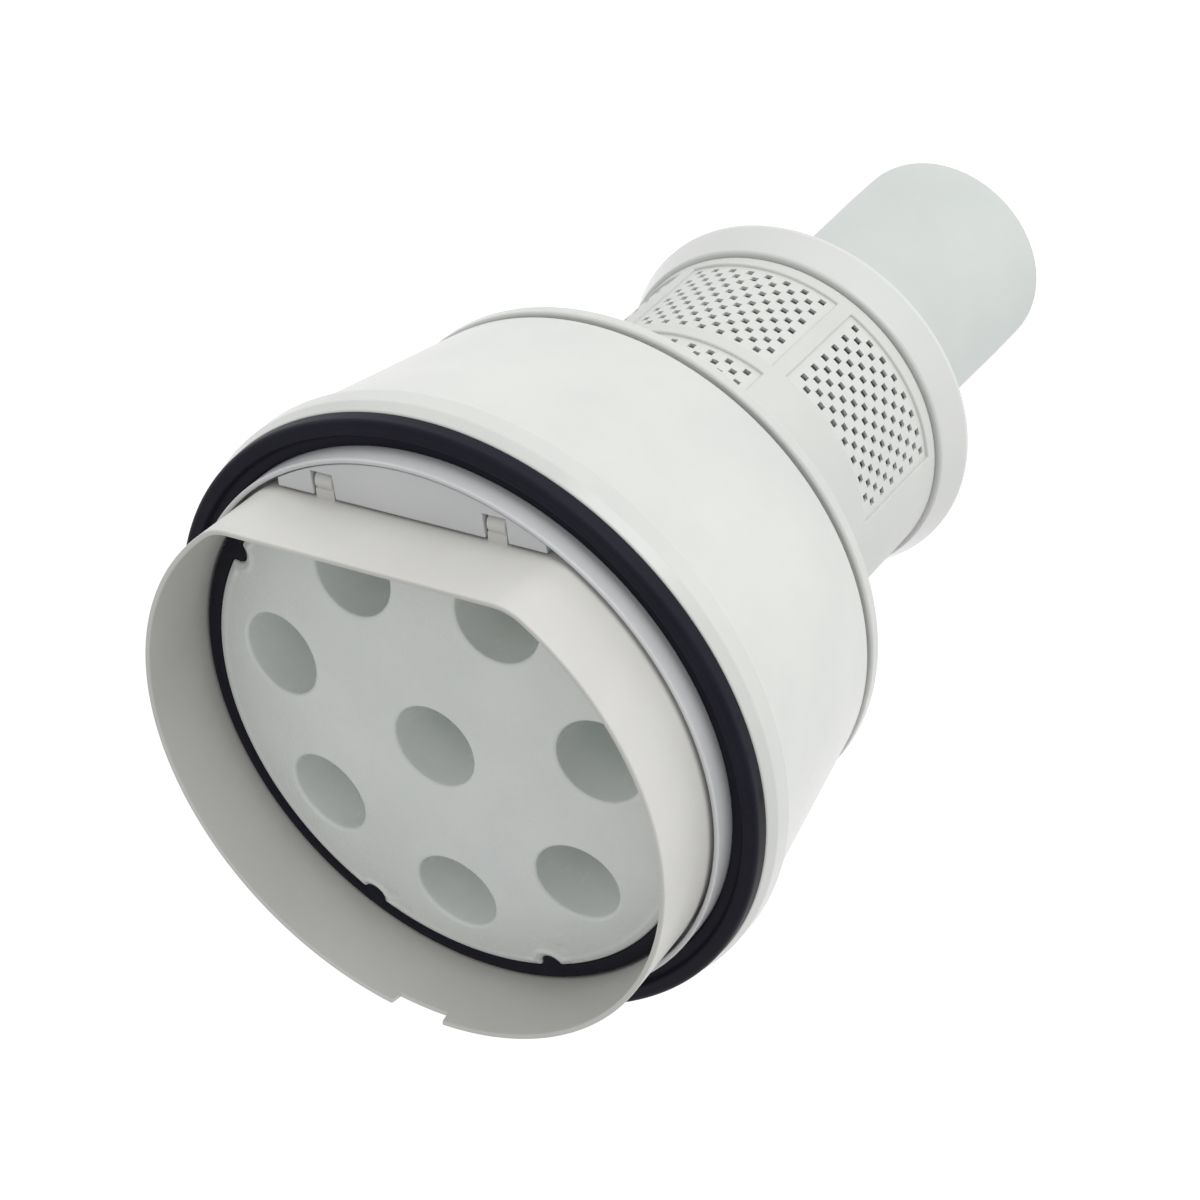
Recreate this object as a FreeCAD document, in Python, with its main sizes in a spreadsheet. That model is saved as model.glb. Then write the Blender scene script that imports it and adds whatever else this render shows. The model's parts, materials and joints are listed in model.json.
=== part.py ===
import FreeCAD, Part
import math
import os

import Sketcher

# Separator core of a cordless stick vacuum cleaner, in millimetres and degrees.
# The cyclone axis is +Z, the clean-air outlets look up and the fine-dust tube stands on z = 0.
# The lift ring's hinge is on the +Y side of the head.

SIZES = {
    # fine-dust tube
    "tube_length": 50.8,
    "tube_seat_length": 8.0,
    "tube_end_radius": 17.6,
    "tube_top_radius": 16.8,
    "tube_wall": 1.4,
    "end_seal_height": 3.0,
    "end_seal_width": 1.5,
    "end_seal_top_width": 0.75,
    "end_seal_recess": 0.5,
    # flared skirt
    "skirt_height": 5.8,
    "skirt_reach": 2.5,
    "skirt_top_reach": 0.7,
    "skirt_edge": 0.8,
    "skirt_wall": 1.4,
    "skirt_inner_step": 0.7,
    "floor_plate": 1.4,
    # mesh shroud
    "groove_gap": 0.5,
    "groove_depth": 1.2,
    "shroud_height": 34.4,
    "shroud_radius": 27.6,
    "shroud_wall": 1.4,
    "window_margin": 2.3,
    "window_height": 20.0,
    "upper_window_gap": 2.6,
    "upper_window_height": 6.0,
    "window_span": 54.4,
    "window_pitch": 60.0,
    "first_window": 27.5,
    "screen_thickness": 0.5,
    "foot_ring_height": 2.4,
    "foot_ring_width": 2.6,
    "boss_inset": 1.65,
    "boss_radius": 2.2,
    "boss_height": 6.4,
    # rear flange with its ridge and bayonet spigot
    "flange_rise": 11.9,
    "ridge_radius": 42.2,
    "ridge_height": 1.7,
    "ridge_step": 0.6,
    "spigot_radius": 39.8,
    "spigot_height": 7.4,
    "spigot_wall": 1.4,
    "lug_height": 2.0,
    "lug_reach": 0.9,
    "lug_span": 12.0,
    "twist_range": 20.0,
    "o_ring_section": 0.5,
    "o_ring_relief": 0.03,
    # head shell
    "parting_gap": 0.7,
    "shell_height": 38.7,
    "shell_low_radius": 41.9,
    "shell_top_radius": 47.5,
    "shell_wall": 1.8,
    "rim_radius": 48.2,
    "rim_band": 3.0,
    "rim_step": 0.7,
    "rim_round": 1.9,
    "land_thickness": 2.0,
    "bayonet_height": 2.6,
    "entry_margin": 3.0,
    "stop_span": 3.0,
    "stop_margin": 2.0,
    "bead_height": 1.0,
    "bead_reach": 0.5,
    "bead_span": 20.0,
    # rim seal and seal carrier
    "seal_radius": 47.5,
    "seal_height": 2.5,
    "seal_step": 0.9,
    "seal_lip_width": 2.2,
    "lip_radius": 43.1,
    "lip_wall": 0.75,
    "lip_rise": 2.5,
    "channel_depth": 3.8,
    "carrier_floor": 1.5,
    "carrier_flange": 1.5,
    "carrier_flange_radius": 45.4,
    "post_radius": 1.8,
    "post_circle": 40.45,
    # outlet plate
    "plate_radius": 38.4,
    "plate_flat_depth": 6.4,
    "plate_corner": 5.0,
    "plate_thickness": 1.8,
    "plate_skirt": 2.0,
    "dome_rise": 2.8,
    "notch_radius": 1.7,
    "notch_depth": 3.0,
    "outlet_count": 7,
    "outlet_circle_share": 0.698,
    "outlet_phase": 267.0,
    "outlet_radius": 5.2,
    "outlet_wall": 1.0,
    "outlet_flare": 1.5,
    "flare_depth": 2.4,
    "finder_length": 27.0,
    # plate gasket
    "gasket_width": 2.2,
    "gasket_flat_width": 1.1,
    "gasket_drop": 0.1,
    "cone_gasket_height": 1.0,
    # cones
    "cone_tilt": 10.0,
    "cone_radius": 9.0,
    "cone_wall": 1.2,
    "cone_tip_radius": 3.3,
    "cone_start": 11.0,
    "cone_straight": 12.0,
    "cone_length": 33.0,
    "inlet_width": 3.4,
    "inlet_height": 8.0,
    "deck_thickness": 2.0,
    "tip_gasket_margin": 1.2,
    "tip_gasket_height": 2.5,
    "tip_reach": 2.0,
    "funnel_wall": 1.4,
    "funnel_share": 0.7,
    # lift ring and its hinge
    "ring_radius": 41.75,
    "ring_chord": 34.6,
    "ring_corner": 7.0,
    "ring_wall": 0.8,
    "ring_height": 15.2,
    "ring_lift": 0.6,
    "ring_notch_width": 8.5,
    "ring_notch_depth": 1.8,
    "ring_notch_angle": 265.5,
    "hinge_offset": 37.0,
    "hinge_height": 2.0,
    "pin_radius": 0.75,
    "pin_length": 9.4,
    "pin_start": 9.2,
    "eye_radius": 1.5,
    "eye_start": 12.3,
    "eye_width": 3.0,
    "block_front": 1.9,
    "block_drop": 0.2,
    "block_half_width": 21.5,
    "block_chamfer": 1.0,
    # fasteners and fits
    "screw_radius": 0.9,
    "screw_head_radius": 1.8,
    "screw_head_height": 1.3,
    "screw_length": 5.8,
    "screw_slot_width": 0.54,
    "screw_slot_depth": 0.65,
    "screw_clearance": 0.15,
    "slip_fit": 0.1,
    "turn_gap": 0.3,
    "pin_clearance": 0.05,
}

OUTLET_NOTCHES = (35.0, 145.0, 242.0, 289.0)
POST_ANGLES = (45.0, 135.0, 225.0, 315.0)
BOSS_ANGLES = (57.5, 177.5, 297.5)
LUG_ANGLES = (0.0, 120.0, 240.0)
SNAP_ANGLES = (90.0, 210.0, 330.0)
LOWER_WINDOWS = 5
UPPER_WINDOWS = (1, 2, 3)

# How far a cutting tool reaches past what it cuts, and how far where a neighbour is close.
OVERCUT = 1.0
SMALL_OVERCUT = 0.5
# How far a piece is sunk into the one that it is fused with.
ROOT = 0.2
# The finders start this far under the dome, and the cones' bores this far above their walls.
FINDER_START = 1.0
BORE_LEAD = 6.0

doc = FreeCAD.newDocument("separator_core")
sheet = doc.addObject("Spreadsheet::Sheet", "Sizes")
for row, (alias, number) in enumerate(SIZES.items(), start=1):
    sheet.set("A%d" % row, alias)
    sheet.set("B%d" % row, str(number))
    sheet.setAlias("B%d" % row, alias)
doc.recompute()


class Size:
    """A number together with the sheet expression that gives it."""

    def __init__(self, value, text):
        self.value = float(value)
        self.text = text

    def __add__(self, other):
        other = as_size(other)
        return Size(self.value + other.value, "(%s + %s)" % (self.text, other.text))

    def __sub__(self, other):
        other = as_size(other)
        return Size(self.value - other.value, "(%s - %s)" % (self.text, other.text))

    def __mul__(self, other):
        other = as_size(other)
        return Size(self.value * other.value, "(%s * %s)" % (self.text, other.text))

    def __truediv__(self, other):
        other = as_size(other)
        return Size(self.value / other.value, "(%s / %s)" % (self.text, other.text))


def as_size(number):
    if isinstance(number, Size):
        return number
    return Size(number, repr(float(number)))


def cosine(angle):
    return Size(math.cos(math.radians(angle.value)), "cos(%s * 1 deg)" % angle.text)


def sine(angle):
    return Size(math.sin(math.radians(angle.value)), "sin(%s * 1 deg)" % angle.text)


def square_root(size):
    return Size(math.sqrt(size.value), "sqrt(%s)" % size.text)


class Sheet:
    """Reads a sheet cell by its alias as a Size."""

    def __getattr__(self, alias):
        return Size(sheet.get(alias), "Sizes." + alias)


d = Sheet()
subparts = []


def bind(item, **properties):
    """Sets each property of an object and ties it to the sheet."""
    for name, size in properties.items():
        size = as_size(size)
        setattr(item, name, size.value)
        item.setExpression(name, size.text)


def finish(item, label):
    item.Label = label
    subparts.append(item)
    return item


def origin_plane(body, role):
    return next(feature for feature in body.Origin.OriginFeatures if feature.Role == role)


def turned(name, points, span=360.0, middle=0.0):
    """A body turned about Z from a closed outline of (radius, height) points."""
    body = doc.addObject("PartDesign::Body", name)
    sketch = body.newObject("Sketcher::SketchObject", name + "_outline")
    sketch.AttachmentSupport = [(origin_plane(body, "XZ_Plane"), "")]
    sketch.MapMode = "FlatFace"
    corners = [(as_size(radius), as_size(height)) for radius, height in points]
    count = len(corners)
    for index, (radius, height) in enumerate(corners):
        next_radius, next_height = corners[(index + 1) % count]
        start = FreeCAD.Vector(radius.value, height.value, 0)
        end = FreeCAD.Vector(next_radius.value, next_height.value, 0)
        sketch.addGeometry(Part.LineSegment(start, end), False)
    for index in range(count):
        following = (index + 1) % count
        sketch.addConstraint(Sketcher.Constraint("Coincident", index, 2, following, 1))
    for index, (radius, height) in enumerate(corners):
        place = sketch.addConstraint(
            Sketcher.Constraint("DistanceX", -1, 1, index, 1, radius.value))
        sketch.setExpression("Constraints[%d]" % place, radius.text)
        if abs(height.value) < 1e-9:
            sketch.addConstraint(Sketcher.Constraint("PointOnObject", index, 1, -1))
        else:
            place = sketch.addConstraint(
                Sketcher.Constraint("DistanceY", -1, 1, index, 1, height.value))
            sketch.setExpression("Constraints[%d]" % place, height.text)
    turn = body.newObject("PartDesign::Revolution", name + "_turn")
    turn.Profile = (sketch, [""])
    turn.ReferenceAxis = (sketch, ["V_Axis"])
    span = as_size(span)
    bind(turn, Angle=span)
    if span.value < 360.0:
        turn.Midplane = True
        spin_about_z(body, middle)
    return body


def spin_about_z(item, angle):
    item.Placement = FreeCAD.Placement(FreeCAD.Vector(), FreeCAD.Rotation(FreeCAD.Vector(0, 0, 1), angle))


def sector(name, inner, outer, low, height, middle, span):
    """A block of a ring between two radii, centred on an angle."""
    points = [(inner, low), (outer, low), (outer, low + height), (inner, low + height)]
    return turned(name, points, span, middle)


def cylinder(name, radius, low, height, x=0.0, y=0.0):
    item = doc.addObject("Part::Cylinder", name)
    bind(item, Radius=radius, Height=height)
    item.Placement.Base = FreeCAD.Vector(as_size(x).value, as_size(y).value, as_size(low).value)
    item.setExpression("Placement.Base.z", as_size(low).text)
    return item


def box(name, low_corner, lengths):
    item = doc.addObject("Part::Box", name)
    bind(item, Length=lengths[0], Width=lengths[1], Height=lengths[2])
    corner = [as_size(number) for number in low_corner]
    item.Placement.Base = FreeCAD.Vector(*[number.value for number in corner])
    for axis, number in zip("xyz", corner):
        item.setExpression("Placement.Base." + axis, number.text)
    return item


def crosswise(name, radius, start, length, across, height):
    """A cylinder along X."""
    item = doc.addObject("Part::Cylinder", name)
    bind(item, Radius=radius, Height=length)
    place = FreeCAD.Vector(as_size(start).value, as_size(across).value, as_size(height).value)
    item.Placement = FreeCAD.Placement(place, FreeCAD.Rotation(FreeCAD.Vector(0, 1, 0), 90))
    return item


def at_angle(radius, angle):
    turn = math.radians(angle)
    return radius.value * math.cos(turn), radius.value * math.sin(turn)


def fuse(name, items):
    item = doc.addObject("Part::MultiFuse", name)
    item.Shapes = items
    return item


def cut(name, base, tools):
    item = doc.addObject("Part::Cut", name)
    item.Base = base
    item.Tool = tools[0] if len(tools) == 1 else fuse(name + "_tools", tools)
    return item


def common(name, items):
    item = doc.addObject("Part::MultiCommon", name)
    item.Shapes = items
    return item


def is_upright(edge):
    start, end = edge.Vertexes[0].Point, edge.Vertexes[-1].Point
    return abs(start.x - end.x) < 1e-6 and abs(start.y - end.y) < 1e-6 and abs(start.z - end.z) > 1e-6


def flat_sided(name, radius, chord, low, height, corner):
    """A round prism with one flat side at y = chord, its two corners rounded."""
    disc = cylinder(name + "_disc", radius, low, height)
    keep = box(name + "_keep", (radius * -1.0, radius * -1.0, low), (radius * 2.0, radius + chord, height))
    raw = common(name + "_raw", [disc, keep])
    doc.recompute()
    item = doc.addObject("Part::Fillet", name)
    item.Base = raw
    rounding = as_size(corner).value
    item.Edges = [(number, rounding, rounding) for number, edge in enumerate(raw.Shape.Edges, start=1)
                  if is_upright(edge) and abs(edge.Vertexes[0].Point.y - chord.value) < 1e-6]
    return item


# ---------------------------------------------------------------- heights along the axis
skirt_low = d.tube_length
skirt_top = skirt_low + d.skirt_height
shroud_low = skirt_top + d.groove_gap
shroud_top = shroud_low + d.shroud_height
ridge_low = shroud_top + d.flange_rise
ridge_top = ridge_low + d.ridge_height
shell_low = ridge_top + d.parting_gap
land_top = shell_low + d.shell_height
land_low = land_top - d.land_thickness
seal_top = land_top + d.seal_height
lip_top = seal_top + d.lip_rise
channel_floor = lip_top - d.channel_depth
carrier_low = channel_floor - d.carrier_floor
flange_low = land_low - d.carrier_flange
deck_low = flange_low - d.deck_thickness
plate_low = flange_low + d.cone_gasket_height
plate_edge = lip_top - d.gasket_drop
plate_top = plate_edge + d.dome_rise
hinge_axis = channel_floor + d.hinge_height

# ---------------------------------------------------------------- sizes across the axis
skirt_radius = d.shroud_radius + d.skirt_reach
skirt_top_radius = d.shroud_radius + d.skirt_top_reach
plate_chord = d.plate_radius - d.plate_flat_depth
gasket_radius = d.plate_radius + d.gasket_width
gasket_chord = plate_chord + d.gasket_flat_width
outlet_circle = d.plate_radius * d.outlet_circle_share

# The outlet plate is part of a sphere through its top and its edge.
dome_radius = (d.plate_radius * d.plate_radius + d.dome_rise * d.dome_rise) / (d.dome_rise * 2.0)
mouth_height = (plate_top - dome_radius
                + square_root(dome_radius * dome_radius - outlet_circle * outlet_circle))

# The outer cones lean in, and their tips stand in the tip gasket at the top of the dust tube.
cone_run = d.cone_start + d.cone_straight + d.cone_length
cone_outer = d.cone_radius + d.cone_wall
cone_tip_outer = d.cone_tip_radius + d.cone_wall
tip_gasket_low = mouth_height - cone_run * cosine(d.cone_tilt) + d.tip_reach
tip_gasket_top = tip_gasket_low + d.tip_gasket_height


def cone_reach(height):
    """How far from the axis the leaning cones reach at a height on their tapered part."""
    run = (mouth_height - height) / cosine(d.cone_tilt)
    past_straight = run - d.cone_start - d.cone_straight
    radius = cone_outer - (cone_outer - cone_tip_outer) * past_straight / d.cone_length
    return outlet_circle - run * sine(d.cone_tilt) + radius / cosine(d.cone_tilt)


tip_gasket_radius = cone_reach(tip_gasket_top) + d.tip_gasket_margin


def outlet_places():
    """Index, angle, circle radius, tilt and mouth height of every outlet, the middle one first."""
    places = [(0, 0.0, 0.0, 0.0, plate_top.value)]
    count = int(d.outlet_count.value)
    for index in range(count):
        angle = d.outlet_phase.value + index * 360.0 / count
        places.append((index + 1, angle, outlet_circle.value, d.cone_tilt.value, mouth_height.value))
    return places


def along_outlet(item, place, depth, offset=(0.0, 0.0)):
    """Sets an object on an outlet's own axis, its +Z down the axis from that depth."""
    _, angle, circle, tilt, mouth = place
    turn = FreeCAD.Placement(FreeCAD.Vector(), FreeCAD.Rotation(FreeCAD.Vector(0, 0, 1), angle))
    lean = FreeCAD.Placement(FreeCAD.Vector(circle, 0, mouth),
                             FreeCAD.Rotation(FreeCAD.Vector(0, 1, 0), 180.0 + tilt))
    down = FreeCAD.Placement(FreeCAD.Vector(offset[0], offset[1], as_size(depth).value),
                             FreeCAD.Rotation())
    item.Placement = turn * lean * down
    return item


def leaning_cylinder(name, place, radius, depth, length):
    item = doc.addObject("Part::Cylinder", name)
    bind(item, Radius=radius, Height=length)
    return along_outlet(item, place, depth)


def leaning_cone(name, place, top_radius, low_radius, depth, length):
    item = doc.addObject("Part::Cone", name)
    bind(item, Radius1=top_radius, Radius2=low_radius, Height=length)
    return along_outlet(item, place, depth)


# ---------------------------------------------------------------- fine-dust tube and its seal
def make_dust_tube():
    funnel_inner = tip_gasket_radius + d.turn_gap
    funnel_outer = funnel_inner + d.funnel_wall
    funnel_low = tip_gasket_low - d.turn_gap * 2.0
    neck = shroud_low + d.shroud_height * d.funnel_share
    inner_top = d.tube_top_radius - d.tube_wall
    plate_reach = d.shroud_radius - d.groove_depth
    tube = turned("dust_tube_turned", [
        (d.tube_end_radius - d.tube_wall, 0.0),
        (d.tube_end_radius, 0.0),
        (d.tube_end_radius, d.tube_seat_length),
        (d.tube_top_radius, skirt_low),
        (d.tube_top_radius, skirt_top - d.floor_plate),
        (plate_reach, skirt_top - d.floor_plate),
        (plate_reach, skirt_top),
        (d.tube_top_radius, skirt_top),
        (d.tube_top_radius, neck),
        (funnel_outer, funnel_low),
        (funnel_outer, tip_gasket_top),
        (funnel_inner, tip_gasket_top),
        (funnel_inner, funnel_low),
        (inner_top, neck),
        (inner_top, skirt_low),
        (d.tube_end_radius - d.tube_wall, d.tube_seat_length),
    ])
    holes = []
    for number, angle in enumerate(BOSS_ANGLES):
        x, y = at_angle(boss_circle(), angle)
        holes.append(cylinder("tube_screw_hole_%d" % number, d.screw_radius + d.screw_clearance,
                              skirt_top - d.floor_plate * 2.0, d.floor_plate * 3.0, x, y))
    finish(cut("dust_tube_drilled", tube, holes), "dust_tube")


def boss_circle():
    return d.shroud_radius - d.groove_depth - d.foot_ring_width * 0.5 - d.boss_inset


def make_end_seal():
    outer = d.tube_end_radius - d.tube_wall
    low = d.end_seal_recess
    finish(turned("tube_end_seal", [
        (outer - d.end_seal_width, low),
        (outer, low),
        (outer, low + d.end_seal_height),
        (outer - d.end_seal_top_width, low + d.end_seal_height),
    ]), "tube_end_seal")


def make_skirt_ring():
    reach = d.shroud_radius - d.groove_depth
    plate = skirt_top - d.floor_plate
    finish(turned("skirt_ring", [
        (reach, plate),
        (skirt_top_radius - d.skirt_inner_step, plate),
        (skirt_radius - d.skirt_wall, skirt_low + d.skirt_edge),
        (skirt_radius - d.skirt_wall, skirt_low),
        (skirt_radius, skirt_low),
        (skirt_radius, skirt_low + d.skirt_edge),
        (skirt_top_radius, skirt_top),
        (reach, skirt_top),
    ]), "skirt_ring")


# ---------------------------------------------------------------- mesh shroud
def window_low():
    return shroud_low + d.window_margin


def upper_window_low():
    return window_low() + d.window_height + d.upper_window_gap


def window_angle(index):
    return d.first_window.value + index * d.window_pitch.value


def screens():
    """Name, foot, height and angle of every mesh screen."""
    for index in range(LOWER_WINDOWS):
        yield "mesh_screen_lower_%d" % (index + 1), window_low(), d.window_height, window_angle(index)
    for number, index in enumerate(UPPER_WINDOWS):
        yield ("mesh_screen_upper_%d" % (number + 1), upper_window_low(), d.upper_window_height,
               window_angle(index))


def make_shroud_frame():
    outer = d.shroud_radius
    inner = outer - d.shroud_wall
    neck = outer - d.groove_depth
    foot = neck - d.foot_ring_width
    foot_top = skirt_top + d.foot_ring_height
    tube = turned("shroud_tube", [
        (foot, skirt_top), (neck, skirt_top), (neck, shroud_low), (outer, shroud_low),
        (outer, shroud_top), (inner, shroud_top), (inner, foot_top), (foot, foot_top),
    ])
    bosses = []
    holes = []
    for number, angle in enumerate(BOSS_ANGLES):
        x, y = at_angle(boss_circle(), angle)
        bosses.append(cylinder("shroud_boss_%d" % number, d.boss_radius, skirt_top, d.boss_height, x, y))
        holes.append(cylinder("shroud_boss_hole_%d" % number, d.screw_radius,
                              skirt_top - OVERCUT, d.boss_height, x, y))
    blank = fuse("shroud_blank", [tube] + bosses)
    windows = [sector(name + "_window", inner - SMALL_OVERCUT, outer + OVERCUT, low, height, angle,
                      d.window_span)
               for name, low, height, angle in screens()]
    finish(cut("shroud_frame_cut", blank, windows + holes), "shroud_frame")


def make_mesh_screens():
    middle = d.shroud_radius - d.shroud_wall * 0.5
    half = d.screen_thickness * 0.5
    for name, low, height, angle in screens():
        finish(sector(name + "_sheet", middle - half, middle + half, low, height, angle,
                      d.window_span), name)


def screw(name, x, y, head_low):
    """A pan-head screw pointing up, with the lowest face of its head at head_low."""
    shank_low = head_low + d.screw_head_height
    shank = cylinder(name + "_shank", d.screw_radius, shank_low, d.screw_length, x, y)
    head = cylinder(name + "_head", d.screw_head_radius, head_low, d.screw_head_height, x, y)
    slot = box(name + "_slot",
               (as_size(x) - d.screw_radius, as_size(y) - d.screw_slot_width * 0.5, head_low),
               (d.screw_radius * 2.0, d.screw_slot_width, d.screw_slot_depth))
    return cut(name, fuse(name + "_blank", [shank, head]), [slot])


def make_tube_screws():
    head_low = skirt_top - d.floor_plate - d.screw_head_height
    screws = []
    for number, angle in enumerate(BOSS_ANGLES):
        x, y = at_angle(boss_circle(), angle)
        screws.append(screw("tube_screw_%d" % number, x, y, head_low))
    finish(fuse("tube_screw_set", screws), "tube_screws")


# ---------------------------------------------------------------- rear flange
def make_rear_flange():
    shroud_inner = d.shroud_radius - d.shroud_wall
    spigot_inner = d.spigot_radius - d.spigot_wall
    spigot_top = ridge_top + d.spigot_height
    wall = d.shroud_wall
    groove_low = ridge_top + d.ridge_height
    groove_top = groove_low + d.o_ring_section
    groove = d.spigot_radius - d.o_ring_section
    blank = turned("rear_flange_blank", [
        (shroud_inner, shroud_top),
        (d.shroud_radius, shroud_top),
        (d.ridge_radius - d.ridge_step, ridge_low - d.ridge_step),
        (d.ridge_radius, ridge_low),
        (d.ridge_radius, ridge_top),
        (d.spigot_radius, ridge_top),
        (d.spigot_radius, groove_low),
        (groove, groove_low),
        (groove, groove_top),
        (d.spigot_radius, groove_top),
        (d.spigot_radius, spigot_top),
        (spigot_inner, spigot_top),
        (spigot_inner, ridge_low),
        (shroud_inner, shroud_top + wall),
    ])
    lug_low = shell_low + d.bayonet_height + d.turn_gap
    lugs = [sector("bayonet_lug_%d" % number, d.spigot_radius - d.spigot_wall * 0.5,
                   d.spigot_radius + d.lug_reach, lug_low, d.lug_height, angle, d.lug_span)
            for number, angle in enumerate(LUG_ANGLES)]
    finish(fuse("rear_flange_fused", [blank] + lugs), "rear_flange")
    finish(turned("flange_o_ring_body", [
        (groove, groove_low),
        (d.spigot_radius - d.o_ring_relief, groove_low),
        (d.spigot_radius - d.o_ring_relief, groove_top),
        (groove, groove_top),
    ]), "flange_o_ring")


# ---------------------------------------------------------------- head shell
def make_head_shell():
    low_inner = d.shell_low_radius - d.shell_wall
    top_inner = d.shell_top_radius - d.shell_wall
    rim_low = land_top - d.rim_round - d.rim_band
    bayonet_inner = d.spigot_radius + d.turn_gap
    bayonet_top = shell_low + d.bayonet_height
    blank = turned("head_shell_blank", [
        (bayonet_inner, shell_low),
        (d.shell_low_radius, shell_low),
        (d.shell_top_radius, rim_low - d.rim_step),
        (d.rim_radius, rim_low),
        (d.rim_radius, rim_low + d.rim_band),
        (d.seal_radius, land_top),
        (d.lip_radius + d.slip_fit, land_top),
        (d.lip_radius + d.slip_fit, land_low),
        (top_inner, land_low),
        (top_inner, rim_low),
        (d.spigot_radius + d.lug_reach + d.turn_gap, bayonet_top),
        (bayonet_inner, bayonet_top),
    ])
    entries = [sector("bayonet_entry_%d" % number, bayonet_inner - OVERCUT,
                      d.spigot_radius + d.lug_reach + d.turn_gap, shell_low - OVERCUT,
                      d.bayonet_height + OVERCUT * 2.0, angle + d.twist_range.value,
                      d.lug_span + d.entry_margin)
               for number, angle in enumerate(LUG_ANGLES)]
    stop_offset = (d.lug_span * 0.5 + d.stop_margin).value
    stops = [sector("bayonet_stop_%d" % number, bayonet_inner, d.shell_low_radius,
                    bayonet_top - ROOT, d.lug_height, angle - stop_offset, d.stop_span)
             for number, angle in enumerate(LUG_ANGLES)]
    beads = [sector("snap_bead_%d" % number, d.carrier_flange_radius - d.bead_reach, top_inner + ROOT,
                    deck_low - d.bead_height, d.bead_height, angle, d.bead_span)
             for number, angle in enumerate(SNAP_ANGLES)]
    opened = cut("head_shell_opened", blank, entries)
    finish(fuse("head_shell_fused", [opened] + stops + beads), "head_shell")


def make_rim_seal():
    inner = d.lip_radius + d.slip_fit
    step = d.seal_radius - d.seal_lip_width
    finish(turned("rim_seal_body", [
        (inner, land_top),
        (d.seal_radius, land_top),
        (d.seal_radius, seal_top),
        (step, seal_top),
        (step, seal_top - d.seal_step),
        (inner, seal_top - d.seal_step),
    ]), "rim_seal")


def make_seal_carrier():
    inner = d.lip_radius - d.lip_wall
    sleeve = turned("carrier_sleeve", [
        (inner, flange_low),
        (d.carrier_flange_radius, flange_low),
        (d.carrier_flange_radius, land_low),
        (d.lip_radius, land_low),
        (d.lip_radius, lip_top),
        (inner, lip_top),
    ])
    floor = cylinder("carrier_floor_disc", inner + d.lip_wall * 0.5, carrier_low, d.carrier_floor)
    posts = []
    holes = []
    for number, angle in enumerate(POST_ANGLES):
        x, y = at_angle(d.post_circle, angle)
        posts.append(cylinder("carrier_post_%d" % number, d.post_radius, flange_low,
                              carrier_low - flange_low, x, y))
        holes.append(cylinder("carrier_post_hole_%d" % number, d.screw_radius, flange_low - OVERCUT,
                              d.screw_length - d.deck_thickness + OVERCUT + SMALL_OVERCUT, x, y))
    opening = flat_sided("carrier_opening", d.plate_radius + d.slip_fit, plate_chord + d.slip_fit,
                         carrier_low - OVERCUT, d.carrier_floor + OVERCUT * 2.0, d.plate_corner)
    blank = fuse("carrier_blank", [sleeve, floor] + posts)
    finish(cut("seal_carrier_cut", blank, [opening] + holes), "seal_carrier")


# ---------------------------------------------------------------- outlet plate and gaskets
def notch_cylinders(name, low, height):
    """Upright cylinders on the plate's edge, one at each notch."""
    made = []
    for number, angle in enumerate(OUTLET_NOTCHES):
        x, y = at_angle(d.plate_radius, angle)
        made.append(cylinder("%s_%d" % (name, number), d.notch_radius, low, height, x, y))
    return made


def make_outlet_plate():
    height = plate_top - plate_low + OVERCUT
    outer = flat_sided("plate_prism", d.plate_radius, plate_chord, plate_low, height, d.plate_corner)
    sphere = doc.addObject("Part::Sphere", "plate_dome")
    bind(sphere, Radius=dome_radius)
    sphere.Placement.Base = FreeCAD.Vector(0, 0, (plate_top - dome_radius).value)
    hollow_prism = flat_sided("plate_hollow_prism", d.plate_radius - d.plate_skirt,
                              plate_chord - d.plate_skirt, plate_low - OVERCUT, height,
                              d.plate_corner - d.plate_skirt)
    hollow_dome = doc.addObject("Part::Sphere", "plate_hollow_dome")
    bind(hollow_dome, Radius=dome_radius - d.plate_thickness)
    hollow_dome.Placement.Base = sphere.Placement.Base
    crown = common("plate_crown", [outer, sphere])
    hollow = common("plate_hollow", [hollow_prism, hollow_dome])
    shell = cut("plate_shell", crown, [hollow])
    finders = []
    bores = []
    finder_reach = d.finder_length - FINDER_START
    flare_slope = d.outlet_flare / d.flare_depth
    for place in outlet_places():
        number = place[0]
        finders.append(leaning_cylinder("vortex_finder_%d" % number, place,
                                        d.outlet_radius + d.outlet_wall, as_size(FINDER_START),
                                        finder_reach))
        finders.append(leaning_cone("outlet_collar_%d" % number, place,
                                    d.outlet_radius + d.outlet_flare + d.outlet_wall * 0.5,
                                    d.outlet_radius + d.outlet_wall, as_size(FINDER_START),
                                    d.flare_depth + OVERCUT))
        bores.append(leaning_cylinder("outlet_bore_%d" % number, place, d.outlet_radius,
                                      as_size(-OVERCUT), d.finder_length + OVERCUT * 2.0))
        bores.append(leaning_cone("outlet_flare_%d" % number, place,
                                  d.outlet_radius + d.outlet_flare + flare_slope * OVERCUT,
                                  d.outlet_radius, as_size(-OVERCUT), d.flare_depth + OVERCUT))
    notches = notch_cylinders("plate_notch", plate_edge - d.notch_depth, d.notch_depth + OVERCUT)
    limit_low = mouth_height - d.finder_length - OVERCUT
    limit = flat_sided("finder_limit", d.plate_radius, plate_chord, limit_low,
                       plate_top - limit_low, d.plate_corner)
    trimmed = common("finders_trimmed", [fuse("finders_whole", finders), limit])
    blank = fuse("plate_blank", [shell, trimmed])
    finish(cut("outlet_plate_cut", blank, bores + notches), "outlet_plate")


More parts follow.
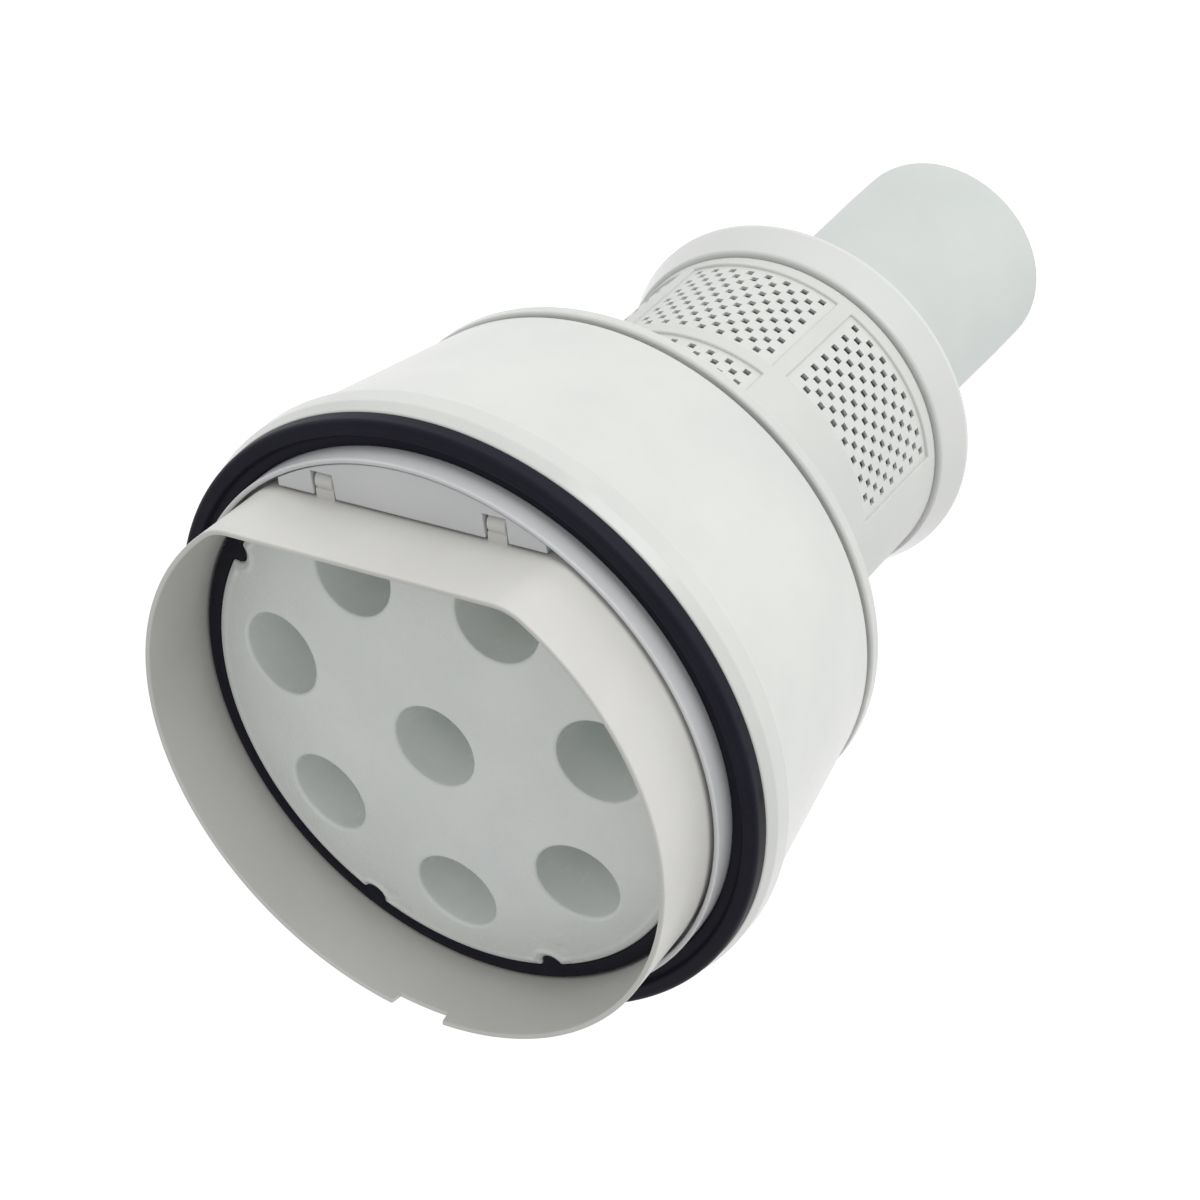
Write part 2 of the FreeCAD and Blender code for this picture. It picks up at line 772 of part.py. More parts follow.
def make_plate_gasket():
    top = plate_edge - d.gasket_drop
    height = top - channel_floor
    outer = flat_sided("gasket_outer", gasket_radius, gasket_chord, channel_floor, height,
                       d.plate_corner)
    inner = flat_sided("gasket_inner", d.plate_radius, plate_chord, channel_floor - OVERCUT,
                       height + OVERCUT * 2.0, d.plate_corner)
    ring = cut("gasket_ring", outer, [inner])
    lug_low = plate_edge - d.notch_depth
    lugs = notch_cylinders("gasket_lug", lug_low, top - lug_low)
    finish(fuse("plate_gasket_fused", [ring] + lugs), "plate_gasket")


def make_cone_gasket():
    outer = flat_sided("cone_gasket_outer", d.plate_radius, plate_chord, flange_low,
                       d.cone_gasket_height, d.plate_corner)
    inner = flat_sided("cone_gasket_inner", d.plate_radius - d.plate_skirt,
                       plate_chord - d.plate_skirt, flange_low - OVERCUT,
                       d.cone_gasket_height + OVERCUT * 2.0, d.plate_corner - d.plate_skirt)
    reliefs = [leaning_cylinder("gasket_relief_%d" % place[0], place,
                                d.outlet_radius + d.outlet_wall + d.slip_fit, as_size(FINDER_START),
                                d.finder_length - FINDER_START)
               for place in outlet_places()]
    finish(cut("cone_gasket_cut", outer, [inner] + reliefs), "cone_gasket")


# ---------------------------------------------------------------- cone block
def cone_outsides(prefix):
    made = []
    for place in outlet_places():
        number = place[0]
        made.append(leaning_cylinder("%s_straight_%d" % (prefix, number), place, cone_outer,
                                     d.cone_start, d.cone_straight))
        made.append(leaning_cone("%s_taper_%d" % (prefix, number), place, cone_outer,
                                 cone_tip_outer, d.cone_start + d.cone_straight, d.cone_length))
    return made


def cone_name(place):
    return "cone_%d" % place[0] if place[0] else "cone_middle"


def bored_cone(place):
    """The bore of a cone, from above the deck to below its tip, and its tangential air inlet."""
    number = place[0]
    inlet_reach = d.cone_radius + d.cone_wall * 2.0
    slot = doc.addObject("Part::Box", "cone_inlet_%d" % number)
    bind(slot, Length=inlet_reach, Width=d.inlet_width, Height=d.inlet_height)
    return [
        leaning_cylinder("cone_bore_%d" % number, place, d.cone_radius, d.cone_start - BORE_LEAD,
                         d.cone_straight + BORE_LEAD),
        leaning_cone("cone_taper_bore_%d" % number, place, d.cone_radius, d.cone_tip_radius,
                     d.cone_start + d.cone_straight, d.cone_length),
        leaning_cylinder("cone_tip_bore_%d" % number, place, d.cone_tip_radius,
                         cone_run - SMALL_OVERCUT, as_size(OVERCUT + SMALL_OVERCUT)),
        along_outlet(slot, place, d.cone_start + d.deck_thickness,
                     (-inlet_reach.value, (d.cone_radius - d.inlet_width).value)),
    ]


def cone_solid(prefix, place):
    """A cone filled in, up to the deck's underside."""
    number = place[0]
    straight = leaning_cylinder("%s_straight_%d" % (prefix, number), place, cone_outer,
                                d.cone_start - BORE_LEAD, d.cone_straight + BORE_LEAD)
    taper = leaning_cone("%s_taper_%d" % (prefix, number), place, cone_outer, cone_tip_outer,
                         d.cone_start + d.cone_straight, d.cone_length)
    limit = cylinder("%s_limit_%d" % (prefix, number), d.carrier_flange_radius, shroud_low,
                     deck_low - shroud_low)
    return common("%s_solid_%d" % (prefix, number),
                  [fuse("%s_whole_%d" % (prefix, number), [straight, taper]), limit])


def make_cones():
    """The cones hang from the deck. Where two outer cones meet, the first gives way to the next."""
    places = outlet_places()
    outer_places = places[1:]
    following = dict(zip(outer_places, outer_places[1:] + outer_places[:1]))
    for place in places:
        tools = bored_cone(place)
        if place in following:
            tools.append(cone_solid("next_to_%d" % place[0], following[place]))
        finish(cut(cone_name(place) + "_cut", cone_solid("cone", place), tools), cone_name(place))


def make_cone_deck():
    deck = cylinder("cone_deck_disc", d.carrier_flange_radius, deck_low, d.deck_thickness)
    holes = [leaning_cylinder("deck_bore_%d" % place[0], place, d.cone_radius,
                              d.cone_start - BORE_LEAD, d.cone_straight + BORE_LEAD)
             for place in outlet_places()]
    for number, angle in enumerate(POST_ANGLES):
        x, y = at_angle(d.post_circle, angle)
        holes.append(cylinder("deck_hole_%d" % number, d.screw_radius + d.screw_clearance,
                              deck_low - OVERCUT, d.deck_thickness + OVERCUT * 2.0, x, y))
    finish(cut("cone_deck_cut", deck, holes), "cone_deck")


def make_cone_screws():
    screws = []
    for number, angle in enumerate(POST_ANGLES):
        x, y = at_angle(d.post_circle, angle)
        screws.append(screw("cone_screw_%d" % number, x, y, deck_low - d.screw_head_height))
    finish(fuse("cone_screw_set", screws), "cone_screws")


def make_tip_gasket():
    disc = cylinder("tip_disc", tip_gasket_radius, tip_gasket_low, d.tip_gasket_height)
    finish(cut("tip_gasket_cut", disc, cone_outsides("tip_seat")), "tip_gasket")


# ---------------------------------------------------------------- lift ring and hinge
def make_lift_ring():
    low = channel_floor + d.ring_lift
    outer = flat_sided("ring_outer", d.ring_radius, d.ring_chord, low, d.ring_height, d.ring_corner)
    inner = flat_sided("ring_inner", d.ring_radius - d.ring_wall, d.ring_chord - d.ring_wall,
                       low - OVERCUT, d.ring_height + OVERCUT * 2.0, d.ring_corner - d.ring_wall)
    band = cut("ring_band", outer, [inner])
    web_top = hinge_axis + d.eye_radius
    pieces = [band]
    bores = []
    for side, name in ((1.0, "right"), (-1.0, "left")):
        start = d.eye_start * side - (d.eye_width if side < 0 else as_size(0.0))
        pieces.append(box("ring_web_" + name, (start, d.ring_chord - d.ring_wall * 0.5, low),
                          (d.eye_width, d.hinge_offset - d.ring_chord + d.ring_wall * 0.5,
                           web_top - low)))
        pieces.append(crosswise("ring_eye_" + name, d.eye_radius, start, d.eye_width,
                                d.hinge_offset, hinge_axis))
        bores.append(crosswise("ring_bore_" + name, d.pin_radius + d.pin_clearance, start - OVERCUT,
                               d.eye_width + OVERCUT * 2.0, d.hinge_offset, hinge_axis))
    notch = doc.addObject("Part::Box", "ring_notch")
    reach = d.ring_wall + OVERCUT
    bind(notch, Length=d.ring_notch_width, Width=reach * 2.0, Height=d.ring_notch_depth * 2.0)
    x, y = at_angle(d.ring_radius, d.ring_notch_angle.value)
    place = FreeCAD.Vector(x, y, (low + d.ring_height - d.ring_notch_depth).value)
    turn = FreeCAD.Rotation(FreeCAD.Vector(0, 0, 1), d.ring_notch_angle.value + 90.0)
    middle = FreeCAD.Placement(FreeCAD.Vector(-d.ring_notch_width.value * 0.5, -reach.value, 0.0),
                               FreeCAD.Rotation())
    notch.Placement = FreeCAD.Placement(place, turn) * middle
    finish(cut("lift_ring_cut", fuse("ring_blank", pieces), bores + [notch]), "lift_ring")


def make_hinge():
    height = lip_top - d.block_drop - channel_floor
    reach = d.lip_radius - d.lip_wall - d.slip_fit
    front = d.hinge_offset - d.block_front
    disc = cylinder("block_disc", reach, channel_floor, height)
    keep = box("block_keep", (d.block_half_width * -1.0, front, channel_floor),
               (d.block_half_width * 2.0, reach - front, height))
    raw = common("block_raw", [disc, keep])
    doc.recompute()
    top = (channel_floor + height).value
    chamfer = doc.addObject("Part::Chamfer", "block_chamfered")
    chamfer.Base = raw
    size = d.block_chamfer.value
    chamfer.Edges = [(number, size, size) for number, edge in enumerate(raw.Shape.Edges, start=1)
                     if all(abs(v.Z - top) < 1e-6 and abs(v.Y - front.value) < 1e-6
                            for v in edge.Vertexes)]
    cutters = []
    gap = d.turn_gap
    for side, name in ((1.0, "right"), (-1.0, "left")):
        start = d.eye_start * side - (d.eye_width if side < 0 else as_size(0.0))
        cutters.append(box("block_pocket_" + name, (start - gap, front - OVERCUT, channel_floor - OVERCUT),
                           (d.eye_width + gap * 2.0, d.block_front + d.eye_radius + gap + OVERCUT,
                            height + OVERCUT * 2.0)))
        pin_start = d.pin_start * side - (d.pin_length if side < 0 else as_size(0.0))
        cutters.append(crosswise("block_bore_" + name, d.pin_radius, pin_start, d.pin_length,
                                 d.hinge_offset, hinge_axis))
        finish(crosswise("pin_" + name, d.pin_radius, pin_start, d.pin_length, d.hinge_offset,
                         hinge_axis), "hinge_pin_" + name)
    finish(cut("hinge_block_cut", chamfer, cutters), "hinge_block")


def export_all():
    doc.recompute()
    for item in doc.Objects:
        if "Invalid" in item.State or "Error" in item.State:
            raise RuntimeError("%s failed to recompute" % item.Name)
    for item in subparts:
        if item.Shape.isNull() or not item.Shape.isValid() or not item.Shape.Solids:
            raise RuntimeError("%s has no valid solid" % item.Label)
    os.makedirs("parts", exist_ok=True)
    for item in subparts:
        item.Shape.exportStep(os.path.join("parts", item.Label + ".step"))
        print(item.Label, len(item.Shape.Solids), "solid(s), volume %.1f mm3" % item.Shape.Volume)


make_dust_tube()
make_end_seal()
make_skirt_ring()
make_shroud_frame()
make_mesh_screens()
make_tube_screws()
make_rear_flange()
make_head_shell()
make_rim_seal()
make_seal_carrier()
make_outlet_plate()
make_plate_gasket()
make_cone_gasket()
make_cone_deck()
make_cones()
make_cone_screws()
make_tip_gasket()
make_lift_ring()
make_hinge()
export_all()
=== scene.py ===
"""Looks of a multi-cyclone separator core, built around its fixed CAD frame.

Lengths are millimetres inside this script and become metres when a mesh is made. The cyclone axis is +Z,
the outlets look up, the dust tube stands on the floor and the lift ring's hinge is on the +Y side.
"""

import json
import logging
import math
from collections.abc import Iterator, Sequence
from dataclasses import dataclass, field
from enum import Enum

import bmesh
import bpy
import numpy as np
from mathutils import Matrix, Vector
from mathutils.geometry import delaunay_2d_cdt

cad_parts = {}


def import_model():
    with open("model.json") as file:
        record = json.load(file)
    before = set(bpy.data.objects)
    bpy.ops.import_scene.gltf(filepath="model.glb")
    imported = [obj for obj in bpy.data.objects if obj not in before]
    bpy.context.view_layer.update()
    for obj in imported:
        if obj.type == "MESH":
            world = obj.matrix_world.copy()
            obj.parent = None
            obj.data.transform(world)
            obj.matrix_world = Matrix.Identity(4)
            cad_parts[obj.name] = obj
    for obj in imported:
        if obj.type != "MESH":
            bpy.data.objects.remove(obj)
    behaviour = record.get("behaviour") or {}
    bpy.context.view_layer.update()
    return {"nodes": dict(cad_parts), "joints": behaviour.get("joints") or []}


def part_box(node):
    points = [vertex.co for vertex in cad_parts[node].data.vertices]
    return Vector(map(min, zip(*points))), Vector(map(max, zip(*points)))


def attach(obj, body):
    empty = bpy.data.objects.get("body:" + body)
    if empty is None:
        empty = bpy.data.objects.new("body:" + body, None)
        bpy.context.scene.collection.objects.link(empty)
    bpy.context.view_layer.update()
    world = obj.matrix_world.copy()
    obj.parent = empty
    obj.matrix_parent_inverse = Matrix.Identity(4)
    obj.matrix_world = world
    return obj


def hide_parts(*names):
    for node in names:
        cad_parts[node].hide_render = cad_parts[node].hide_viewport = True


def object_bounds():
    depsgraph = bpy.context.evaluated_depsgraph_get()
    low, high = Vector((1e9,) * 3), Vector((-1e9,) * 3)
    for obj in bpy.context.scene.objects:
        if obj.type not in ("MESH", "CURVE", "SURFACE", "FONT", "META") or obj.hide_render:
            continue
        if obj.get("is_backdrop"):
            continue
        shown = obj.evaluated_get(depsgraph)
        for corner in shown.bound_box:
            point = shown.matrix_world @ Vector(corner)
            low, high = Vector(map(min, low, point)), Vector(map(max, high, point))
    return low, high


MM = 0.001
TURN = 2.0 * math.pi
LOG = logging.getLogger("separator_core")

Colour = tuple[float, float, float]


class Body(Enum):
    """The CAD bodies that pieces ride on."""

    HEAD = "head"
    RING = "lift_ring"
    SHROUD = "shroud"


# ------------------------------------------------------------------------------------ outlines


def corners(node: str) -> tuple[np.ndarray, np.ndarray]:
    """Gives the lowest and highest corner of a CAD node.

    Args:
        node: Name of the CAD node.

    Returns:
        Two points in millimetres.
    """
    low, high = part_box(node)
    return np.array(low) / MM, np.array(high) / MM


def rounded(points: Sequence[tuple[float, float, float]], step: float = 15.0) -> np.ndarray:
    """Rounds the corners of a closed outline with tangent arcs.

    An arc of radius r at a corner that turns by t starts and ends r * tan(t / 2) from the corner. One
    more point stands just outside each end of the arc, so that shading stays flat on the straight side.

    Args:
        points: Corners as (x, y, rounding radius).
        step: Largest angle between two points of an arc, in degrees.

    Returns:
        The outline as an array of (x, y), counter-clockwise.
    """
    spots = np.array([(x, y) for x, y, _ in points], float)
    radii = np.array([radius for _, _, radius in points], float)
    following = np.roll(spots, -1, axis=0)
    area = np.sum(spots[:, 0] * following[:, 1] - following[:, 0] * spots[:, 1])
    if area < 0.0:
        spots, radii = spots[::-1], radii[::-1]
    before = np.roll(spots, 1, axis=0) - spots
    after = np.roll(spots, -1, axis=0) - spots
    before_length = np.linalg.norm(before, axis=1)
    after_length = np.linalg.norm(after, axis=1)
    pieces = []
    for index, spot in enumerate(spots):
        radius = radii[index]
        back = before[index] / before_length[index]
        ahead = after[index] / after_length[index]
        turn = math.pi - math.acos(float(np.clip(back @ ahead, -1.0, 1.0)))
        if radius <= 0.0 or turn < 0.02:
            pieces.append(spot[None, :])
            continue
        room = 0.46 * min(before_length[index], after_length[index])
        reach = min(radius * math.tan(turn / 2.0), room)
        radius = reach / math.tan(turn / 2.0)
        start, end = spot + back * reach, spot + ahead * reach
        centre = spot + (back + ahead) / np.linalg.norm(back + ahead) * radius / math.cos(turn / 2.0)
        count = max(2, int(math.ceil(math.degrees(turn) / step)) + 1)
        share = np.linspace(0.0, 1.0, count)[:, None]
        first, last = start - centre, end - centre
        arc = centre + (np.sin((1.0 - share) * turn) * first + np.sin(share * turn) * last) / math.sin(turn)
        hold = min(0.25 * radius, 0.03 * room)
        pieces.append(np.vstack([start + back * hold, arc, end + ahead * hold]))
    return np.vstack(pieces)


@dataclass(frozen=True)
class FlatSided:
    """A circle with one flat side at y = chord, its two corners rounded."""

    radius: float
    chord: float
    corner: float

    def reach(self, angles: np.ndarray, inset: float = 0.0) -> np.ndarray:
        """Distance of the outline from the axis.

        Beside the +Y direction it is chord / cos(a), on the corner it is where the ray meets the corner
        circle, and elsewhere it is the radius.

        Args:
            angles: Directions in radians from +X.
            inset: How far the outline is moved inwards.

        Returns:
            One distance for each direction.
        """
        radius, chord = self.radius - inset, self.chord - inset
        corner = max(self.corner - inset, 0.05)
        middle_y = chord - corner
        middle_x = math.sqrt((radius - corner) ** 2 - middle_y**2)
        side = np.abs((angles - math.pi / 2.0 + math.pi) % TURN - math.pi)
        along = middle_x * np.sin(side) + middle_y * np.cos(side)
        bend = along + np.sqrt(np.maximum(along**2 - middle_x**2 - middle_y**2 + corner**2, 0.0))
        flat = chord / np.maximum(np.cos(side), 0.01)
        reach = np.where(side < math.atan2(middle_x, chord), flat, bend)
        return np.where(side > math.atan2(middle_x, middle_y), radius, reach)

    def points(self, angles: np.ndarray, inset: float = 0.0) -> np.ndarray:
        """Points (x, y) of the outline in the given directions."""
        return polar(self.reach(angles, inset), angles)


@dataclass(frozen=True)
class Notched:
    """A flat-sided outline with half-round notches, each mouth rounded by a small fillet."""

    base: FlatSided
    notch_radius: float
    notch_angles: tuple[float, ...]
    fillet: float

    def points(self, inset: float = 0.0) -> np.ndarray:
        """Points of the outline moved inwards.

        The notch grows and its fillet shrinks as the outline moves in. The fillet's centre is the corner
        of a triangle whose sides are the plate's radius, that radius less the fillet, and the notch's
        radius plus the fillet.

        Args:
            inset: How far the outline is moved inwards.

        Returns:
            An array of (x, y), the same number for every inset.
        """
        away = self.base.radius
        outer, notch = away - inset, self.notch_radius + inset
        fillet = max(self.fillet - inset, 0.0)
        middle = outer - fillet
        half = math.acos((away**2 + middle**2 - (notch + fillet) ** 2) / (2.0 * away * middle))
        lean = math.atan2(middle * math.sin(half), away - middle * math.cos(half))
        arc = np.linspace(-half, lean, 7)
        first = np.stack([middle * math.cos(half) + fillet * np.cos(arc),
                          -middle * math.sin(half) + fillet * np.sin(arc)], -1)
        turn = np.linspace(lean - math.pi, -math.pi - lean, 21)[1:-1]
        hollow = np.stack([away + notch * np.cos(turn), notch * np.sin(turn)], -1)
        last = first[::-1] * (1.0, -1.0)
        local = np.vstack([first, hollow, last])
        pieces = []
        angles = np.radians(self.notch_angles)
        for index, angle in enumerate(angles):
            cosine, sine = math.cos(angle), math.sin(angle)
            pieces.append(local @ np.array([[cosine, sine], [-sine, cosine]]))
            following = angles[(index + 1) % len(angles)] + (TURN if index + 1 == len(angles) else 0.0)
            count = int(math.degrees(following - angle))
            between = np.linspace(angle + half, following - half, count + 2)[1:-1]
            pieces.append(self.base.points(between, inset))
        return np.vstack(pieces)


def polar(radius: np.ndarray | float, angles: np.ndarray) -> np.ndarray:
    """Points (radius * cos, radius * sin) for arrays of radii and angles."""
    return np.stack([radius * np.cos(angles), radius * np.sin(angles)], -1)


def inside(points: np.ndarray, loop: np.ndarray) -> np.ndarray:
    """Tells which points lie in a closed loop, by counting the sides that a ray along +X crosses.

    Args:
        points: Array of (x, y).
        loop: Corners of the loop in order.

    Returns:
        One truth value for each point.
    """
    x, y = points[:, 0][:, None], points[:, 1][:, None]
    start, end = loop, np.roll(loop, -1, axis=0)
    crosses = (start[:, 1] > y) != (end[:, 1] > y)
    rise = np.where(np.abs(end[:, 1] - start[:, 1]) < 1e-12, 1e-12, end[:, 1] - start[:, 1])
    at = start[:, 0] + (y - start[:, 1]) / rise * (end[:, 0] - start[:, 0])
    return np.sum(crosses & (x < at), axis=1) % 2 == 1


# ------------------------------------------------------------------------------------ meshes


class Skin:
    """Collects vertex and face arrays and turns them into one welded, closed mesh."""

    def __init__(self) -> None:
        """Starts empty."""
        self.points: list[np.ndarray] = []
        self.faces: list[np.ndarray] = []
        self.count = 0

    def add(self, points: np.ndarray, faces: np.ndarray) -> None:
        """Adds vertices and the faces that number them from nought.

        Args:
            points: Array of (x, y, z) in millimetres.
            faces: Array of triangles or quads.
        """
        self.points.append(points)
        self.faces.append(faces + self.count)
        self.count += len(points)

    def add_grid(self, grid: np.ndarray, wrap_rows: bool = False, wrap_columns: bool = True) -> None:
        """Adds a grid of points as quads that look to the side of column direction x row direction.

        Args:
            grid: Array of (row, column, xyz).
            wrap_rows: Joins the last row to the first.
            wrap_columns: Joins the last column to the first.
        """
        rows, columns = grid.shape[:2]
        row = np.arange(rows if wrap_rows else rows - 1)
        column = np.arange(columns if wrap_columns else columns - 1)
        row, column = np.meshgrid(row, column, indexing="ij")
        next_row, next_column = (row + 1) % rows, (column + 1) % columns
        faces = np.stack([row * columns + column, row * columns + next_column,
                          next_row * columns + next_column, next_row * columns + column], -1)
        self.add(grid.reshape(-1, 3), faces.reshape(-1, 4))

    def build(self, name: str, sharp: float = 38.0) -> bpy.types.Object:
        """Makes the mesh object, in metres, welded and smooth apart from its sharp edges.

        Args:
            name: Name of the piece.
            sharp: Edges that turn by more than this many degrees stay sharp.

        Returns:
            The new object.
        """
        mesh = bpy.data.meshes.new(name)
        points = np.vstack(self.points) * MM
        corner_lists = [faces.reshape(-1) for faces in self.faces]
        totals = np.concatenate([np.full(len(faces), faces.shape[1]) for faces in self.faces])
        mesh.vertices.add(len(points))
        mesh.vertices.foreach_set("co", points.astype(np.float32).ravel())
        mesh.loops.add(int(totals.sum()))
        mesh.loops.foreach_set("vertex_index", np.concatenate(corner_lists).astype(np.int32))
        mesh.polygons.add(len(totals))
        starts = np.concatenate([[0], np.cumsum(totals)[:-1]])
        mesh.polygons.foreach_set("loop_start", starts.astype(np.int32))
        mesh.update(calc_edges=True)
        weld = bmesh.new()
        weld.from_mesh(mesh)
        loose = [vertex for vertex in weld.verts if not vertex.link_faces]
        bmesh.ops.delete(weld, geom=loose, context="VERTS")
        bmesh.ops.remove_doubles(weld, verts=weld.verts, dist=2e-6)
        weld.to_mesh(mesh)
        weld.free()
        mesh.shade_smooth()
        mesh.set_sharp_from_angle(angle=math.radians(sharp))
        piece = bpy.data.objects.new(name, mesh)
        bpy.context.scene.collection.objects.link(piece)
        return piece


def lathe(outline: np.ndarray, segments: int = 288) -> np.ndarray:
    """Turns an outline about Z: the point (r, z) at angle a goes to (r cos a, r sin a, z).

    Args:
        outline: Closed outline of (radius, height), counter-clockwise.
        segments: Number of steps round the axis.

    Returns:
        Grid of (outline point, angle, xyz).
    """
    angles = np.arange(segments) * TURN / segments
    radius, height = outline[:, 0][:, None], outline[:, 1][:, None]
    return np.stack([radius * np.cos(angles), radius * np.sin(angles), height + 0.0 * angles], -1)


def stacked(rows: Sequence[tuple[np.ndarray, np.ndarray | float]]) -> np.ndarray:
    """Puts plane loops of (x, y), each with its own height, into one grid of (row, column, xyz)."""
    return np.stack([np.column_stack([loop, np.broadcast_to(height, len(loop))]) for loop, height in rows])


def swept(shape: FlatSided, section: np.ndarray, angles: np.ndarray) -> np.ndarray:
    """Carries a section round a flat-sided outline.

    The section point (i, z) lies at the outline moved inwards by i, at the height z.

    Args:
        shape: The outline to follow.
        section: Closed section of (inset, height), clockwise because the inset grows inwards.
        angles: Directions of the columns, in radians.

    Returns:
        Grid of (section point, angle, xyz).
    """
    return stacked([(shape.points(angles, inset), height) for inset, height in section])


def outline_angles(shape: FlatSided, count: int = 300, extra: Sequence[float] = ()) -> np.ndarray:
    """Even directions round the axis, with closer ones where the outline's corners bend.

    Args:
        shape: The outline whose corners need the closer directions.
        count: Number of even directions.
        extra: More directions, in radians.

    Returns:
        Sorted directions in radians.
    """
    middle_y = shape.chord - shape.corner
    middle_x = math.sqrt((shape.radius - shape.corner) ** 2 - middle_y**2)
    bend = np.linspace(math.atan2(middle_x, shape.chord) - 0.03, math.atan2(middle_x, middle_y) + 0.03, 20)
    even = np.arange(count) * TURN / count
    merged = np.concatenate([even, math.pi / 2.0 + bend, math.pi / 2.0 - bend, np.asarray(extra, float)])
    merged = np.sort(merged % TURN)
    return merged[np.concatenate([[True], np.diff(merged) > 1e-4])]


def pierced(angles: np.ndarray, heights: np.ndarray, is_open: np.ndarray, outer: float, inner: float,
            whole_turn: bool) -> tuple[np.ndarray, np.ndarray]:
    """Makes a curved sheet with openings from a grid of cells in angle and height.

    Each solid cell has an outer and an inner quad, and each side between a solid cell and an open one,
    or the end of the sheet, has a wall.

    Args:
        angles: Cell borders round the axis, in radians.
        heights: Cell borders along the axis.
        is_open: Array of (height cell, angle cell), true where the sheet is open.
        outer: Outer radius.
        inner: Inner radius.
        whole_turn: Joins the last angle cell to the first.

    Returns:
        Vertices and quads.
    """
    columns, levels = len(angles), len(heights)
    ring = np.stack([np.cos(angles), np.sin(angles)], -1)
    outside = np.concatenate([np.broadcast_to(ring * outer, (levels, columns, 2)),
                              np.broadcast_to(heights[:, None, None], (levels, columns, 1))], -1)
    inside_face = np.concatenate([np.broadcast_to(ring * inner, (levels, columns, 2)),
                                  np.broadcast_to(heights[:, None, None], (levels, columns, 1))], -1)
    points = np.concatenate([outside.reshape(-1, 3), inside_face.reshape(-1, 3)])
    shift = levels * columns

    def spot(level: np.ndarray, column: np.ndarray) -> np.ndarray:
        """Number of the outer vertex at a level and a column."""
        return level * columns + column % columns

    level, column = np.nonzero(~is_open)
    outer_faces = np.stack([spot(level, column), spot(level, column + 1),
                            spot(level + 1, column + 1), spot(level + 1, column)], -1)
    faces = [outer_faces, outer_faces[:, ::-1] + shift]
    solid = ~is_open
    if whole_turn:
        left, right = np.roll(solid, 1, axis=1), solid
    else:
        left = np.pad(solid, ((0, 0), (1, 0)))
        right = np.pad(solid, ((0, 0), (0, 1)))
    below = np.pad(solid, ((1, 0), (0, 0)))
    above = np.pad(solid, ((0, 1), (0, 0)))
    for mask, flip in ((left & ~right, False), (right & ~left, True)):
        level, column = np.nonzero(mask)
        low, high = spot(level, column), spot(level + 1, column)
        wall = np.stack([low, low + shift, high + shift, high], -1)
        faces.append(wall[:, ::-1] if flip else wall)
    for mask, flip in ((below & ~above, False), (above & ~below, True)):
        level, column = np.nonzero(mask)
        near, far = spot(level, column), spot(level, column + 1)
        wall = np.stack([near, far, far + shift, near + shift], -1)
        faces.append(wall[:, ::-1] if flip else wall)
    return points, np.vstack(faces)


def triangulated(loops: Sequence[np.ndarray], spots: np.ndarray) -> tuple[np.ndarray, np.ndarray]:
    """Fills the space between an outer loop and the loops of its holes with triangles.

    Args:
        loops: The outer loop first, then the holes, each an array of (x, y).
        spots: More points inside, for an even mesh.

    Returns:
        Points (x, y) and counter-clockwise triangles.
    """
    coordinates = np.vstack([*loops, spots])
    edges: list[tuple[int, int]] = []
    start = 0
    for loop in loops:
        numbers = np.arange(len(loop))
        edges += list(zip((start + numbers).tolist(), (start + np.roll(numbers, -1)).tolist()))
        start += len(loop)
    vectors = [Vector(pair) for pair in coordinates.tolist()]
    made = delaunay_2d_cdt(vectors, edges, [], 0, 1e-7, False)
    points, triangles = np.array([tuple(point) for point in made[0]]), np.array(made[2])
    middle = points[triangles].mean(axis=1)
    keep = inside(middle, loops[0])
    for loop in loops[1:]:
        keep &= ~inside(middle, loop)
    triangles = triangles[keep]
    first, second, third = (points[triangles[:, number]] for number in range(3))
    across, along = second - first, third - first
    turned = across[:, 0] * along[:, 1] - across[:, 1] * along[:, 0] < 0.0
    triangles[turned] = triangles[turned][:, ::-1]
    return points, triangles


def spread(loops: Sequence[np.ndarray], pitch: float, margin: float) -> np.ndarray:
    """Even points between an outer loop and its holes, clear of every loop.

    Args:
        loops: The outer loop first, then the holes.
        pitch: Distance between points.
        margin: Least distance from any loop's points.

    Returns:
        Array of (x, y).
    """
    reach = float(np.abs(loops[0]).max())
    steps = np.arange(-reach, reach, pitch)
    x, y = np.meshgrid(steps, steps * math.sqrt(0.75), indexing="ij")
    x = x + np.where(np.arange(len(steps)) % 2 == 0, 0.0, pitch / 2.0)
    spots = np.stack([x.ravel(), y.ravel()], -1)
    keep = inside(spots, loops[0])
    for number, loop in enumerate(loops):
        if number:
            keep &= ~inside(spots, loop)
        gap = np.min(np.linalg.norm(spots[:, None, :] - loop[None, :, :], axis=2), axis=1)
        keep &= gap > margin
    return spots[keep]


# ------------------------------------------------------------------------------------ effects


